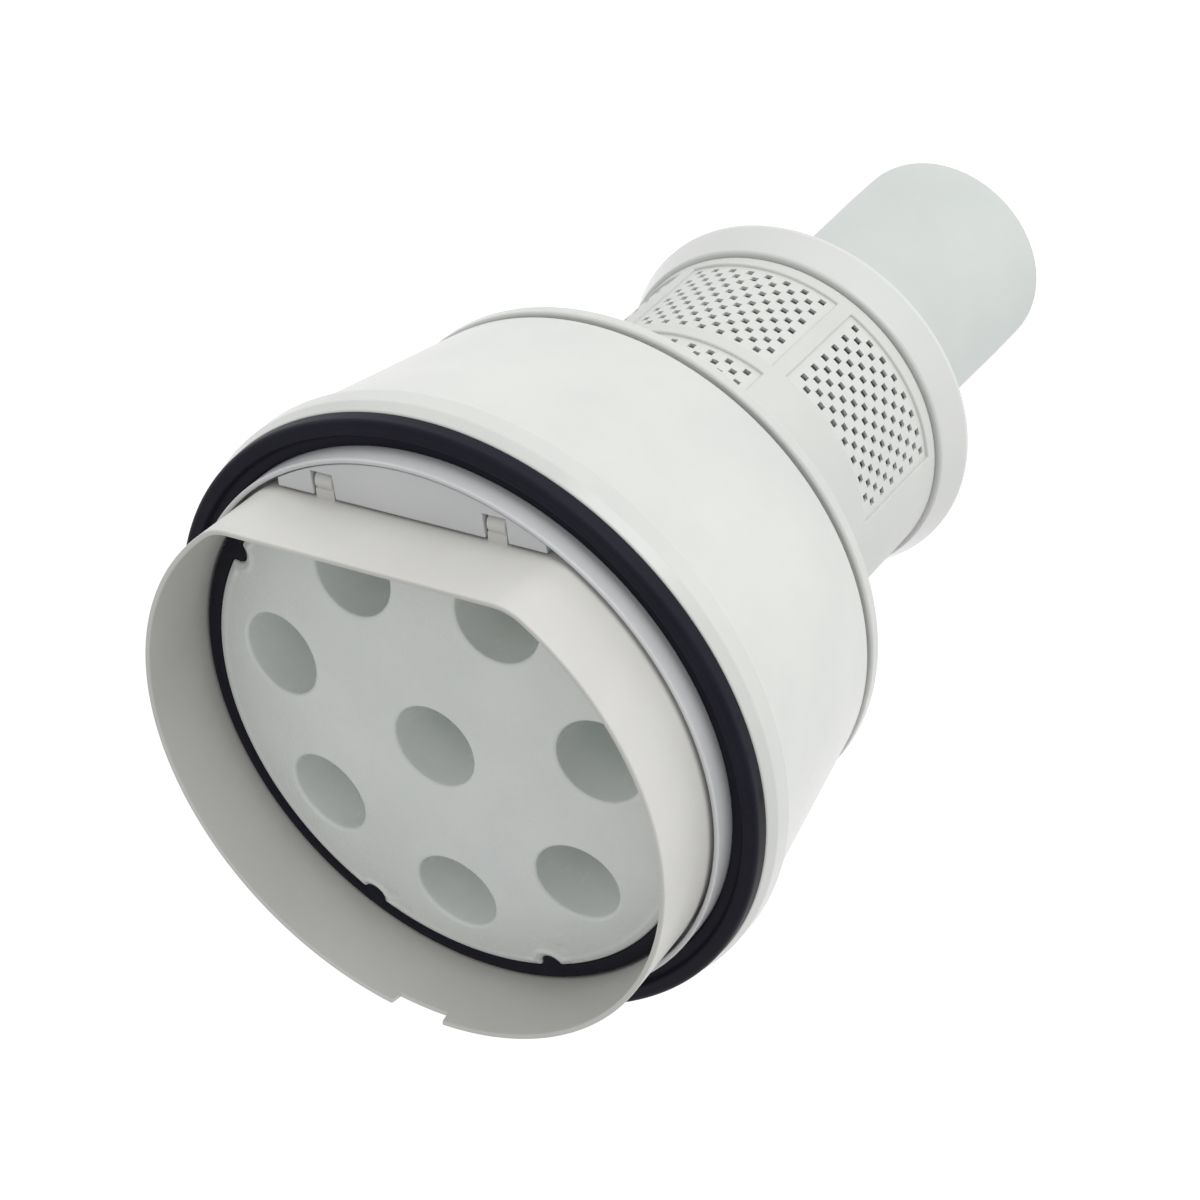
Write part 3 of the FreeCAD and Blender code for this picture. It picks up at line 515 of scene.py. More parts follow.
class Effects:
    """Shader node groups that several finishes share, each built once."""

    def __init__(self) -> None:
        """Builds the groups."""
        self.grain = self._grain()
        self.drift = self._drift()
        self.scuffs = self._scuffs()
        self.dust = self._dust()

    @staticmethod
    def _group(name: str, inputs: dict[str, tuple[str, float | Colour]],
               outputs: dict[str, str]) -> tuple[bpy.types.NodeTree, bpy.types.Node, bpy.types.Node]:
        """Makes an empty group with named sockets.

        Args:
            name: Name of the group.
            inputs: Name of each input to its kind and first value.
            outputs: Name of each output to its kind.

        Returns:
            The tree, its input node and its output node.
        """
        tree = bpy.data.node_groups.new(name, "ShaderNodeTree")
        for label, (kind, value) in inputs.items():
            socket = tree.interface.new_socket(label, in_out="INPUT", socket_type=kind)
            if kind == "NodeSocketColor":
                socket.default_value = (*value, 1.0)
            elif kind == "NodeSocketFloat":
                socket.default_value = value
        for label, kind in outputs.items():
            tree.interface.new_socket(label, in_out="OUTPUT", socket_type=kind)
        return tree, tree.nodes.new("NodeGroupInput"), tree.nodes.new("NodeGroupOutput")

    @staticmethod
    def _noise(tree: bpy.types.NodeTree, scale: float, detail: float, roughness: float) -> bpy.types.Node:
        """A noise texture node with constant settings."""
        noise = tree.nodes.new("ShaderNodeTexNoise")
        noise.inputs["Scale"].default_value = scale
        noise.inputs["Detail"].default_value = detail
        noise.inputs["Roughness"].default_value = roughness
        return noise

    @staticmethod
    def _math(tree: bpy.types.NodeTree, operation: str, first: object, second: object) -> bpy.types.Node:
        """A math node whose two operands are sockets or numbers."""
        node = tree.nodes.new("ShaderNodeMath")
        node.operation = operation
        for number, value in enumerate((first, second)):
            if isinstance(value, bpy.types.NodeSocket):
                tree.links.new(value, node.inputs[number])
            else:
                node.inputs[number].default_value = value
        return node

    @staticmethod
    def _range(tree: bpy.types.NodeTree, value: bpy.types.NodeSocket, low: float, high: float,
               smooth: bool = True) -> bpy.types.Node:
        """Stretches a value between two limits to nought and one."""
        node = tree.nodes.new("ShaderNodeMapRange")
        node.interpolation_type = "SMOOTHSTEP" if smooth else "LINEAR"
        node.inputs["From Min"].default_value = low
        node.inputs["From Max"].default_value = high
        tree.links.new(value, node.inputs["Value"])
        return node

    def _grain(self) -> bpy.types.NodeTree:
        """The spark-eroded grain of a mould: fine cells over a soft unevenness of the wall."""
        tree, start, end = self._group("mould_grain", {
            "Vector": ("NodeSocketVector", 0.0), "Fineness": ("NodeSocketFloat", 1.0),
            "Waviness": ("NodeSocketFloat", 0.3)}, {"Height": "NodeSocketFloat"})
        scaled = tree.nodes.new("ShaderNodeVectorMath")
        scaled.operation = "SCALE"
        tree.links.new(start.outputs["Vector"], scaled.inputs[0])
        tree.links.new(start.outputs["Fineness"], scaled.inputs["Scale"])
        fine = self._noise(tree, 3200.0, 3.0, 0.6)
        tree.links.new(scaled.outputs["Vector"], fine.inputs["Vector"])
        slow = self._noise(tree, 95.0, 2.0, 0.5)
        tree.links.new(start.outputs["Vector"], slow.inputs["Vector"])
        wave = self._math(tree, "MULTIPLY", slow.outputs["Fac"], start.outputs["Waviness"])
        total = self._math(tree, "ADD", fine.outputs["Fac"], wave.outputs["Value"])
        tree.links.new(total.outputs["Value"], end.inputs["Height"])
        return tree

    def _drift(self) -> bpy.types.NodeTree:
        """Slow changes of tone through a moulding, between two colours, with faint darker flow."""
        tree, start, end = self._group("tone_drift", {
            "Vector": ("NodeSocketVector", 0.0), "Colour": ("NodeSocketColor", (0.8, 0.8, 0.8)),
            "Shade": ("NodeSocketColor", (0.7, 0.7, 0.7)), "Scale": ("NodeSocketFloat", 30.0)},
            {"Colour": "NodeSocketColor"})
        broad = self._noise(tree, 30.0, 4.0, 0.55)
        tree.links.new(start.outputs["Vector"], broad.inputs["Vector"])
        tree.links.new(start.outputs["Scale"], broad.inputs["Scale"])
        share = self._range(tree, broad.outputs["Fac"], 0.32, 0.72)
        blend = tree.nodes.new("ShaderNodeMix")
        blend.data_type = "RGBA"
        tree.links.new(share.outputs["Result"], blend.inputs["Factor"])
        tree.links.new(start.outputs["Colour"], blend.inputs[6])
        tree.links.new(start.outputs["Shade"], blend.inputs[7])
        tree.links.new(blend.outputs[2], end.inputs["Colour"])
        return tree

    def _scuffs(self) -> bpy.types.NodeTree:
        """Hairline rub marks: long thin streaks of noise, broken up by broad patches."""
        tree, start, end = self._group("rub_marks", {
            "Vector": ("NodeSocketVector", 0.0), "Density": ("NodeSocketFloat", 1.0)},
            {"Mask": "NodeSocketFloat"})
        stretch = tree.nodes.new("ShaderNodeMapping")
        stretch.inputs["Scale"].default_value = (1.0, 0.06, 0.35)
        stretch.inputs["Rotation"].default_value = (0.4, 0.9, 0.6)
        tree.links.new(start.outputs["Vector"], stretch.inputs["Vector"])
        streaks = self._noise(tree, 1500.0, 2.0, 0.5)
        tree.links.new(stretch.outputs["Vector"], streaks.inputs["Vector"])
        thin = self._range(tree, streaks.outputs["Fac"], 0.6, 0.72)
        patches = self._noise(tree, 60.0, 3.0, 0.5)
        tree.links.new(start.outputs["Vector"], patches.inputs["Vector"])
        areas = self._range(tree, patches.outputs["Fac"], 0.45, 0.7)
        both = self._math(tree, "MULTIPLY", thin.outputs["Result"], areas.outputs["Result"])
        mask = self._math(tree, "MULTIPLY", both.outputs["Value"], start.outputs["Density"])
        tree.links.new(mask.outputs["Value"], end.inputs["Mask"])
        return tree

    def _dust(self) -> bpy.types.NodeTree:
        """Fine dust that settles on faces that look up, in specks and soft drifts."""
        tree, start, end = self._group("settled_dust", {
            "Vector": ("NodeSocketVector", 0.0), "Amount": ("NodeSocketFloat", 0.2)},
            {"Mask": "NodeSocketFloat"})
        geometry = tree.nodes.new("ShaderNodeNewGeometry")
        split = tree.nodes.new("ShaderNodeSeparateXYZ")
        tree.links.new(geometry.outputs["Normal"], split.inputs["Vector"])
        upward = self._range(tree, split.outputs["Z"], -0.2, 1.0)
        specks = self._noise(tree, 2100.0, 2.0, 0.7)
        tree.links.new(start.outputs["Vector"], specks.inputs["Vector"])
        dots = self._range(tree, specks.outputs["Fac"], 0.6, 0.75)
        film = self._noise(tree, 140.0, 5.0, 0.65)
        tree.links.new(start.outputs["Vector"], film.inputs["Vector"])
        soft = self._range(tree, film.outputs["Fac"], 0.4, 0.8)
        total = self._math(tree, "ADD", dots.outputs["Result"], soft.outputs["Result"])
        lying = self._math(tree, "MULTIPLY", total.outputs["Value"], upward.outputs["Result"])
        mask = self._math(tree, "MULTIPLY", lying.outputs["Value"], start.outputs["Amount"])
        mask.use_clamp = True
        tree.links.new(mask.outputs["Value"], end.inputs["Mask"])
        return tree


# ------------------------------------------------------------------------------------ finishes


@dataclass(frozen=True)
class Finish:
    """A surface finish: two tones, a gloss, a mould grain, rub marks and settled dust.

    A glow above 0 stands for the light that reaches a hidden piece through the thin pale walls round it.
    """

    name: str
    colour: Colour
    shade: Colour
    roughness: float
    rough_spread: float = 0.08
    metallic: float = 0.0
    coat: float = 0.0
    coat_roughness: float = 0.1
    specular: float = 0.5
    subsurface: float = 0.0
    drift_scale: float = 30.0
    grain: float = 0.06
    grain_distance: float = 0.00004
    fineness: float = 1.0
    waviness: float = 0.3
    scuffs: float = 0.4
    dust: float = 0.1
    dust_colour: Colour = (0.62, 0.6, 0.55)
    glow: float = 0.0

    def build(self, effects: Effects) -> bpy.types.Material:
        """Makes the material.

        Args:
            effects: The shared node groups.

        Returns:
            The finished material.
        """
        material = bpy.data.materials.new(self.name)
        material.use_nodes = True
        tree = material.node_tree
        shader = tree.nodes["Principled BSDF"]
        shader.inputs["Metallic"].default_value = self.metallic
        shader.inputs["Coat Weight"].default_value = self.coat
        shader.inputs["Coat Roughness"].default_value = self.coat_roughness
        shader.inputs["Specular IOR Level"].default_value = self.specular
        shader.inputs["Subsurface Weight"].default_value = self.subsurface
        shader.inputs["Subsurface Radius"].default_value = (0.003, 0.003, 0.0025)
        shader.inputs["Subsurface Scale"].default_value = 0.5
        shader.inputs["Emission Color"].default_value = (*self.colour, 1.0)
        shader.inputs["Emission Strength"].default_value = self.glow
        place = tree.nodes.new("ShaderNodeTexCoord").outputs["Object"]
        drift = self._placed(tree, effects.drift, place, Scale=self.drift_scale)
        drift.inputs["Colour"].default_value = (*self.colour, 1.0)
        drift.inputs["Shade"].default_value = (*self.shade, 1.0)
        dust = self._placed(tree, effects.dust, place, Amount=self.dust)
        dusty = tree.nodes.new("ShaderNodeMix")
        dusty.data_type = "RGBA"
        tree.links.new(dust.outputs["Mask"], dusty.inputs["Factor"])
        tree.links.new(drift.outputs["Colour"], dusty.inputs[6])
        dusty.inputs[7].default_value = (*self.dust_colour, 1.0)
        tree.links.new(dusty.outputs[2], shader.inputs["Base Color"])
        scuffs = self._placed(tree, effects.scuffs, place, Density=self.scuffs)
        worn = tree.nodes.new("ShaderNodeMath")
        worn.operation = "ADD"
        tree.links.new(scuffs.outputs["Mask"], worn.inputs[0])
        tree.links.new(dust.outputs["Mask"], worn.inputs[1])
        rough = tree.nodes.new("ShaderNodeMapRange")
        rough.inputs["To Min"].default_value = self.roughness
        rough.inputs["To Max"].default_value = min(self.roughness + self.rough_spread * 3.0, 1.0)
        tree.links.new(worn.outputs["Value"], rough.inputs["Value"])
        tree.links.new(rough.outputs["Result"], shader.inputs["Roughness"])
        grain = self._placed(tree, effects.grain, place, Fineness=self.fineness, Waviness=self.waviness)
        bump = tree.nodes.new("ShaderNodeBump")
        bump.inputs["Strength"].default_value = self.grain
        bump.inputs["Distance"].default_value = self.grain_distance
        tree.links.new(grain.outputs["Height"], bump.inputs["Height"])
        tree.links.new(bump.outputs["Normal"], shader.inputs["Normal"])
        return material

    @staticmethod
    def _placed(tree: bpy.types.NodeTree, group: bpy.types.NodeTree, place: bpy.types.NodeSocket,
                **values: float) -> bpy.types.Node:
        """Puts a shared group into the material with its own values."""
        node = tree.nodes.new("ShaderNodeGroup")
        node.node_tree = group
        tree.links.new(place, node.inputs["Vector"])
        for label, value in values.items():
            node.inputs[label].default_value = value
        return node


SHELL = Finish("shell_plastic", (0.665, 0.675, 0.645), (0.60, 0.615, 0.595), 0.34, coat=0.45,
               coat_roughness=0.2, grain=0.35, subsurface=0.05)
SHROUD = Finish("shroud_plastic", (0.655, 0.665, 0.635), (0.60, 0.615, 0.595), 0.42, grain=0.4)
SKIRT = Finish("skirt_plastic", (0.69, 0.70, 0.685), (0.64, 0.655, 0.645), 0.22, coat=0.35,
               coat_roughness=0.12, grain=0.15)
TUBE = Finish("tube_plastic", (0.62, 0.65, 0.63), (0.57, 0.605, 0.59), 0.4, grain=0.4)
PLATE = Finish("plate_plastic", (0.76, 0.79, 0.765), (0.71, 0.745, 0.725), 0.26, coat=0.3,
               coat_roughness=0.15, grain=0.2, dust=0.16, drift_scale=45.0)
CONE = Finish("cone_plastic", (0.60, 0.62, 0.61), (0.55, 0.575, 0.57), 0.6, grain=0.6, dust=0.25,
              glow=0.7)
CARRIER = Finish("carrier_plastic", (0.665, 0.67, 0.68), (0.61, 0.62, 0.635), 0.32, grain=0.25)
RING = Finish("ring_plastic", (0.66, 0.655, 0.625), (0.60, 0.595, 0.57), 0.4, grain=0.4, dust=0.06)
SCREEN = Finish("screen_mesh", (0.68, 0.69, 0.665), (0.63, 0.645, 0.625), 0.45, grain=0.3, dust=0.1)
BLACK_RUBBER = Finish("black_rubber", (0.006, 0.006, 0.014), (0.009, 0.009, 0.019), 0.5, specular=0.16,
                      rough_spread=0.12, grain=0.6, fineness=0.7, waviness=1.2, dust=0.05,
                      dust_colour=(0.06, 0.06, 0.075))
GREY_RUBBER = Finish("grey_rubber", (0.42, 0.43, 0.43), (0.37, 0.38, 0.385), 0.62, grain=0.6)
STEEL = Finish("screw_steel", (0.62, 0.62, 0.61), (0.54, 0.54, 0.54), 0.3, metallic=1.0, grain=0.25,
               dust=0.02, drift_scale=260.0)
PIN_STEEL = Finish("pin_steel", (0.66, 0.66, 0.66), (0.6, 0.6, 0.6), 0.22, metallic=1.0, grain=0.15,
                   dust=0.0, drift_scale=300.0)

CONES = ("cone_middle", *(f"cone_{number}" for number in range(1, 8)))
CAD_FINISHES = {
    "cone_deck": CONE, **{node: CONE for node in CONES},
    "cone_gasket": BLACK_RUBBER, "cone_screws": STEEL, "tip_gasket": BLACK_RUBBER,
    "hinge_pin_left": PIN_STEEL, "hinge_pin_right": PIN_STEEL, "flange_o_ring": BLACK_RUBBER,
    "tube_screws": STEEL,
}


class Dresser:
    """Gives pieces their finish and body, and CAD nodes their finish."""

    def __init__(self, nodes: dict[str, bpy.types.Object]) -> None:
        """Keeps the CAD nodes and builds the shared effects.

        Args:
            nodes: CAD node objects by name.
        """
        self.nodes = nodes
        self.effects = Effects()
        self.made: dict[str, bpy.types.Material] = {}

    def material(self, finish: Finish) -> bpy.types.Material:
        """The material of a finish, made at its first use."""
        if finish.name not in self.made:
            self.made[finish.name] = finish.build(self.effects)
        return self.made[finish.name]

    def dress(self, piece: bpy.types.Object, finish: Finish, body: Body, *replaced: str) -> None:
        """Finishes a new piece and lets it ride.

        Args:
            piece: The new object.
            finish: Its finish, whose name the material carries.
            body: The CAD body that it moves with.
            replaced: CAD nodes that it stands for.
        """
        piece.data.materials.append(self.material(finish))
        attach(piece, body.value)
        if replaced:
            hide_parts(*replaced)
        LOG.info("%s on %s, %d faces, finish %s", piece.name, body.value, len(piece.data.polygons),
                 finish.name)

    def dress_cad(self, node: str, finish: Finish) -> None:
        """Gives a carried-over CAD node its finish.

        Args:
            node: Name of the node.
            finish: Its finish.
        """
        mesh = self.nodes[node].data
        mesh.materials.clear()
        mesh.materials.append(self.material(finish))
        LOG.info("%s keeps its CAD shape, finish %s", node, finish.name)


def add_bevel(piece: bpy.types.Object, width: float, segments: int, angle: float = 40.0) -> None:
    """Rounds the sharp edges of a piece with a live bevel.

    Args:
        piece: The object.
        width: Width of the bevel in millimetres.
        segments: Number of steps across it.
        angle: Edges that turn by more than this many degrees are rounded.
    """
    bevel = piece.modifiers.new("edges", "BEVEL")
    bevel.width = width * MM
    bevel.segments = segments
    bevel.limit_method = "ANGLE"
    bevel.angle_limit = math.radians(angle)
    bevel.harden_normals = True


# ------------------------------------------------------------------------------------ head


@dataclass
class HeadShell:
    """The stepped round casing and the rubber seal on its rim."""

    dresser: Dresser
    low_radius: float = 41.9
    top_radius: float = 47.5
    wall: float = 1.8
    rim_band: float = 3.0
    rim_round: float = 1.9
    rim_step: float = 0.7
    land: float = 2.0
    land_inner: float = 43.2
    bayonet_inner: float = 40.1
    bayonet_height: float = 2.6
    undercut: float = 41.0
    seal_lip: float = 2.2
    seal_step: float = 0.9

    def build(self) -> None:
        """Builds the casing and the seal."""
        low, high = corners("head_shell")
        rim_radius, foot, top = high[0], low[2], high[2]
        band_low = top - self.rim_round - self.rim_band
        casing = rounded([
            (self.bayonet_inner, foot, 0.3), (self.low_radius, foot, 0.7),
            (self.top_radius - 0.15, band_low - self.rim_step, 0.25), (rim_radius, band_low, 0.35),
            (rim_radius, band_low + self.rim_band, 1.2), (self.top_radius, top, 0.5),
            (self.land_inner, top, 0.0), (self.land_inner, top - self.land, 0.0),
            (self.top_radius - self.wall, top - self.land, 0.0), (self.top_radius - self.wall, band_low, 1.0),
            (self.undercut, foot + self.bayonet_height, 0.0),
            (self.bayonet_inner, foot + self.bayonet_height, 0.3)], step=9.0)
        skin = Skin()
        skin.add_grid(lathe(casing, 360), wrap_rows=True)
        self.dresser.dress(skin.build("head_shell_moulding"), SHELL, Body.HEAD, "head_shell")
        self._build_seal(top)

    def _build_seal(self, foot: float) -> None:
        """Builds the rim seal with its raised outer lip.

        Args:
            foot: Height of the land that it lies on.
        """
        low, high = corners("rim_seal")
        top, outer = high[2], high[0]
        lip_inner = outer - self.seal_lip
        inner_top = top - self.seal_step
        section = rounded([
            (self.land_inner, foot, 0.0), (outer, foot, 0.15), (outer - 0.1, top, 0.9),
            (lip_inner, top, 0.45), (lip_inner - 0.55, inner_top, 0.5),
            (self.land_inner, inner_top, 0.3)], step=10.0)
        skin = Skin()
        skin.add_grid(lathe(section, 360), wrap_rows=True)
        self.dresser.dress(skin.build("rim_seal_rubber"), BLACK_RUBBER, Body.HEAD, "rim_seal")


@dataclass
class SealCarrier:
    """The thin sleeve whose lip shows inside the seal, with the channel floor and its four posts."""

    dresser: Dresser
    lip_radius: float = 43.1
    lip_wall: float = 0.75
    flange_thickness: float = 1.5
    floor_thickness: float = 1.5
    channel_depth: float = 3.8
    opening: FlatSided = FlatSided(38.5, 32.1, 5.0)
    post_radius: float = 1.8
    post_circle: float = 40.45
    post_angles: tuple[float, ...] = (45.0, 135.0, 225.0, 315.0)

    def build(self) -> None:
        """Builds the sleeve, the floor and the posts as one piece of closed shells."""
        low, high = corners("seal_carrier")
        foot, top, flange = low[2], high[2], high[0]
        inner = self.lip_radius - self.lip_wall
        floor = top - self.channel_depth
        sleeve = rounded([
            (inner, foot, 0.1), (flange, foot, 0.2), (flange, foot + self.flange_thickness, 0.2),
            (self.lip_radius, foot + self.flange_thickness, 0.2), (self.lip_radius, top, 0.34),
            (inner, top, 0.34)], step=15.0)
        skin = Skin()
        skin.add_grid(lathe(sleeve, 360), wrap_rows=True)
        angles = outline_angles(self.opening, 360)
        rim = polar(np.full(len(angles), inner + 0.02), angles)
        under = floor - self.floor_thickness
        rows = [(rim, under), (rim, floor), (self.opening.points(angles, -0.2), floor),
                (self.opening.points(angles), floor - 0.2), (self.opening.points(angles), under)]
        skin.add_grid(stacked(rows), wrap_rows=True)
        post = rounded([(0.001, foot, 0.0), (self.post_radius, foot, 0.15),
                        (self.post_radius, under + 0.1, 0.0), (0.001, under + 0.1, 0.0)])
        for angle in np.radians(self.post_angles):
            skin.add_grid(lathe(post, 32) + (*polar(self.post_circle, angle), 0.0), wrap_rows=True)
        self.dresser.dress(skin.build("seal_carrier_moulding"), CARRIER, Body.HEAD, "seal_carrier")


@dataclass
class OutletPlate:
    """The domed plate with its outlets and vortex finders, and the rubber gasket round it."""

    dresser: Dresser
    shape: FlatSided = FlatSided(38.4, 32.0, 5.0)
    notch_radius: float = 1.7
    notch_angles: tuple[float, ...] = (35.0, 145.0, 242.0, 289.0)
    notch_fillet: float = 0.55
    dome_rise: float = 2.8
    thickness: float = 1.8
    skirt: float = 2.0
    edge_round: float = 0.45
    bead_height: float = 0.3
    bead_inset: float = 0.95
    bead_width: float = 0.42
    border: float = 1.9
    outlet_count: int = 7
    outlet_circle: float = 26.8
    outlet_phase: float = 267.0
    throat: float = 5.2
    mouth: float = 6.95
    mouth_round: float = 0.55
    narrow_end: float = 11.0
    fade_depth: float = 2.6
    finder_wall: float = 1.0
    finder_length: float = 27.0
    tilt: float = 10.0
    dimple_circle: float = 35.3
    dimple_angles: tuple[float, ...] = (246.2, 295.2)
    dimple_radius: float = 1.0
    dimple_depth: float = 0.12
    gasket: FlatSided = FlatSided(40.6, 33.1, 5.0)
    gasket_drop: float = 0.1
    rim: Notched = field(init=False)

    def __post_init__(self) -> None:
        """Reads the plate's heights from the frame and works out its sphere."""
        self.top = corners("plate_gasket")[1][2] + self.gasket_drop + self.dome_rise
        self.foot = corners("cone_gasket")[1][2]
        self.ball = (self.shape.radius**2 + self.dome_rise**2) / (2.0 * self.dome_rise)
        self.rim = Notched(self.shape, self.notch_radius, self.notch_angles, self.notch_fillet)

    def dome(self, spots: np.ndarray, sink: float = 0.0) -> np.ndarray:
        """Height of the sphere through the plate's top, or of one that lies inside it.

        The height is top - R + sqrt((R - sink)^2 - x^2 - y^2) for a sphere of radius R.

        Args:
            spots: Array of (x, y).
            sink: How far inside the outer surface.

        Returns:
            One height for each point.
        """
        across = np.sum(spots[..., :2] ** 2, axis=-1)
        return self.top - self.ball + np.sqrt((self.ball - sink) ** 2 - across)

    def outlet_frames(self) -> Iterator[tuple[np.ndarray, np.ndarray, np.ndarray, np.ndarray]]:
        """Gives each outlet's mouth centre, outward and sideways directions and the way down its axis."""
        yield (np.array([0.0, 0.0, self.top]), np.array([1.0, 0.0, 0.0]), np.array([0.0, 1.0, 0.0]),
               np.array([0.0, 0.0, -1.0]))
        lean = math.radians(self.tilt)
        for index in range(self.outlet_count):
            angle = math.radians(self.outlet_phase) + index * TURN / self.outlet_count
            out = np.array([math.cos(angle), math.sin(angle), 0.0])
            side = np.array([-math.sin(angle), math.cos(angle), 0.0])
            centre = out * self.outlet_circle
            centre[2] = self.dome(centre[None, :])[0]
            up = np.array([0.0, 0.0, 1.0])
            yield (centre, out * math.cos(lean) - up * math.sin(lean), side,
                   -out * math.sin(lean) - up * math.cos(lean))

    def outlet_grid(self, place: tuple[np.ndarray, ...], segments: int = 72) -> np.ndarray:
        """Inside and outside of one outlet as a grid, from the plate's top round to its underside.

        The mouth has a small crisp rounding and narrows slowly to the throat. The first and last rings
        are moved up or down on to the two spheres of the plate, and the move fades out down the bore.

        Args:
            place: Mouth centre, outward, sideways and downward directions.
            segments: Points round each ring.

        Returns:
            Grid of (ring, point, xyz).
        """
        centre, out, side, down = place
        rounding, neck = self.mouth_round, self.mouth - self.mouth_round
        quarter = np.linspace(0.0, math.pi / 2.0, 6)
        flare = np.stack([self.mouth - rounding * np.sin(quarter), rounding * (1.0 - np.cos(quarter))], -1)
        end, wall = self.finder_length, self.finder_wall
        share = np.linspace(0.0, 1.0, 8)[1:]
        narrowing = share**2 * (3.0 - 2.0 * share)
        bore = np.stack([neck + (self.throat - neck) * narrowing,
                         rounding + (self.narrow_end - rounding) * share], -1)
        tail = np.array([(self.throat, (self.narrow_end + end) / 2.0), (self.throat, end)])
        lip = np.array([(self.throat + 0.1, end + 0.25), (self.throat + wall - 0.1, end + 0.25)])
        outer = np.vstack([bore, tail])[::-1] + (wall, 0.0)
        outside = outer[outer[:, 1] > self.thickness + 1.0]
        bore = np.vstack([bore, tail])
        root = outside[-1] + np.array([(0.15, 0.0), (0.6, 0.0)])
        root[:, 1] = (self.thickness + 0.55, self.thickness)
        profile = np.vstack([flare, bore, lip, outside, root])
        round_angle = np.arange(segments) * TURN / segments
        ring = np.cos(round_angle)[:, None] * out + np.sin(round_angle)[:, None] * side
        grid = centre + profile[:, 0][:, None, None] * ring + profile[:, 1][:, None, None] * down
        fade = np.clip(1.0 - profile[:, 1] / self.fade_depth, 0.0, 1.0) ** 2
        grid[..., 2] += fade[:, None] * (self.dome(grid[0]) - grid[0, :, 2])
        grid[-1, :, 2] = self.dome(grid[-1], self.thickness)
        return grid

    def top_height(self, spots: np.ndarray) -> np.ndarray:
        """Height of the plate's top: the dome less its two shallow moulding dimples."""
        height = self.dome(spots)
        for angle in np.radians(self.dimple_angles):
            away = np.linalg.norm(spots[:, :2] - polar(self.dimple_circle, angle), axis=1)
            share = np.clip((self.dimple_radius - away) / (0.45 * self.dimple_radius), 0.0, 1.0)
            height = height - self.dimple_depth * share**2 * (3.0 - 2.0 * share)
        return height

    def edge_rows(self) -> list[tuple[np.ndarray, np.ndarray | float]]:
        """Rows of the plate's rim, from the top of its inner wall round to the border of the dome.

        The edge drops by e - sqrt(e^2 - (e - i)^2) at an inset i smaller than its rounding e, and a bead
        with a bell-shaped section follows it, higher beside the notches.

        Returns:
            Loops with their heights.
        """
        edge = self.rim.points()
        angles = np.arctan2(edge[:, 1], edge[:, 0])
        inner = self.shape.points(angles, self.skirt)
        rows: list[tuple[np.ndarray, np.ndarray | float]] = [
            (inner, self.dome(inner, self.thickness)), (inner, self.foot), (edge, self.foot),
            (edge, self.dome(edge) - self.edge_round * 2.0)]
        quarter = self.edge_round * (1.0 - np.cos(np.linspace(0.0, math.pi / 2.0, 6)))
        insets = np.concatenate([quarter, np.linspace(self.edge_round, self.border, 11)[1:]])
        near = np.zeros(len(edge))
        for angle in np.radians(self.notch_angles):
            away = np.linalg.norm(edge - polar(self.shape.radius, angle), axis=1)
            near = np.maximum(near, np.exp(-((away / (2.2 * self.notch_radius)) ** 4)))
        for inset in insets:
            loop = self.rim.points(float(inset))
            inward = max(self.edge_round - inset, 0.0)
            drop = self.edge_round - math.sqrt(max(self.edge_round**2 - inward**2, 0.0))
            bell = math.exp(-(((inset - self.bead_inset) / self.bead_width) ** 2))
            fade = min(1.0, (self.border - inset) / 0.6)
            bead = self.bead_height * (0.3 + 0.7 * near) * bell * fade
            rows.append((loop, self.top_height(loop) - drop + bead))
        return rows

    def build(self) -> None:
        """Builds the plate and its gasket."""
        skin = Skin()
        rows = self.edge_rows()
        skin.add_grid(stacked(rows))
        border, under_border = rows[-1][0], rows[0][0]
        grids = [self.outlet_grid(place) for place in self.outlet_frames()]
        for grid in grids:
            skin.add_grid(grid[::-1])
        top_loops = [border, *[grid[0, :, :2] for grid in grids]]
        spots = [spread(top_loops, 2.2, 0.9)]
        ring = np.arange(12) * TURN / 12
        for angle in np.radians(self.dimple_angles):
            centre = polar(self.dimple_circle, angle)
            spots = [near[np.linalg.norm(near - centre, axis=1) > self.dimple_radius + 0.5] for near in spots]
            rings = [polar(self.dimple_radius * share, ring + share) for share in (0.05, 0.5, 0.75, 1.05)]
            near = np.vstack(rings) + centre
            gap = np.min(np.linalg.norm(near[:, None, :] - border[None, :, :], axis=2), axis=1)
            spots.append(near[inside(near, border) & (gap > 0.2)])
        points, triangles = triangulated(top_loops, np.vstack(spots))
        skin.add(np.column_stack([points, self.top_height(points)]), triangles)
        low_loops = [under_border, *[grid[-1, :, :2] for grid in grids]]
        points, triangles = triangulated(low_loops, spread(low_loops, 3.0, 1.2))
        skin.add(np.column_stack([points, self.dome(points, self.thickness)]), triangles[:, ::-1])
        self.dresser.dress(skin.build("outlet_plate_moulding"), PLATE, Body.HEAD, "outlet_plate")
        self._build_gasket()

    def _build_gasket(self) -> None:
        """Builds the gasket: its inner side fills the plate's notches, its outer side is flat-sided."""
        foot, top = corners("plate_gasket")[0][2], corners("plate_gasket")[1][2]
        skin = Skin()
        inner = self.rim.points(-0.03)
        angles = np.arctan2(inner[:, 1], inner[:, 0])
        outer = self.gasket.points(angles, 0.03)
        rows = [(outer, foot), (outer, top - 0.35), (self.gasket.points(angles, 0.1), top - 0.12),
                (self.gasket.points(angles, 0.35), top), (self.rim.points(-0.45), top),
                (self.rim.points(-0.15), top - 0.1), (inner, top - 0.3), (inner, foot)]
        skin.add_grid(stacked(rows), wrap_rows=True)
        self.dresser.dress(skin.build("plate_gasket_rubber"), BLACK_RUBBER, Body.HEAD, "plate_gasket")


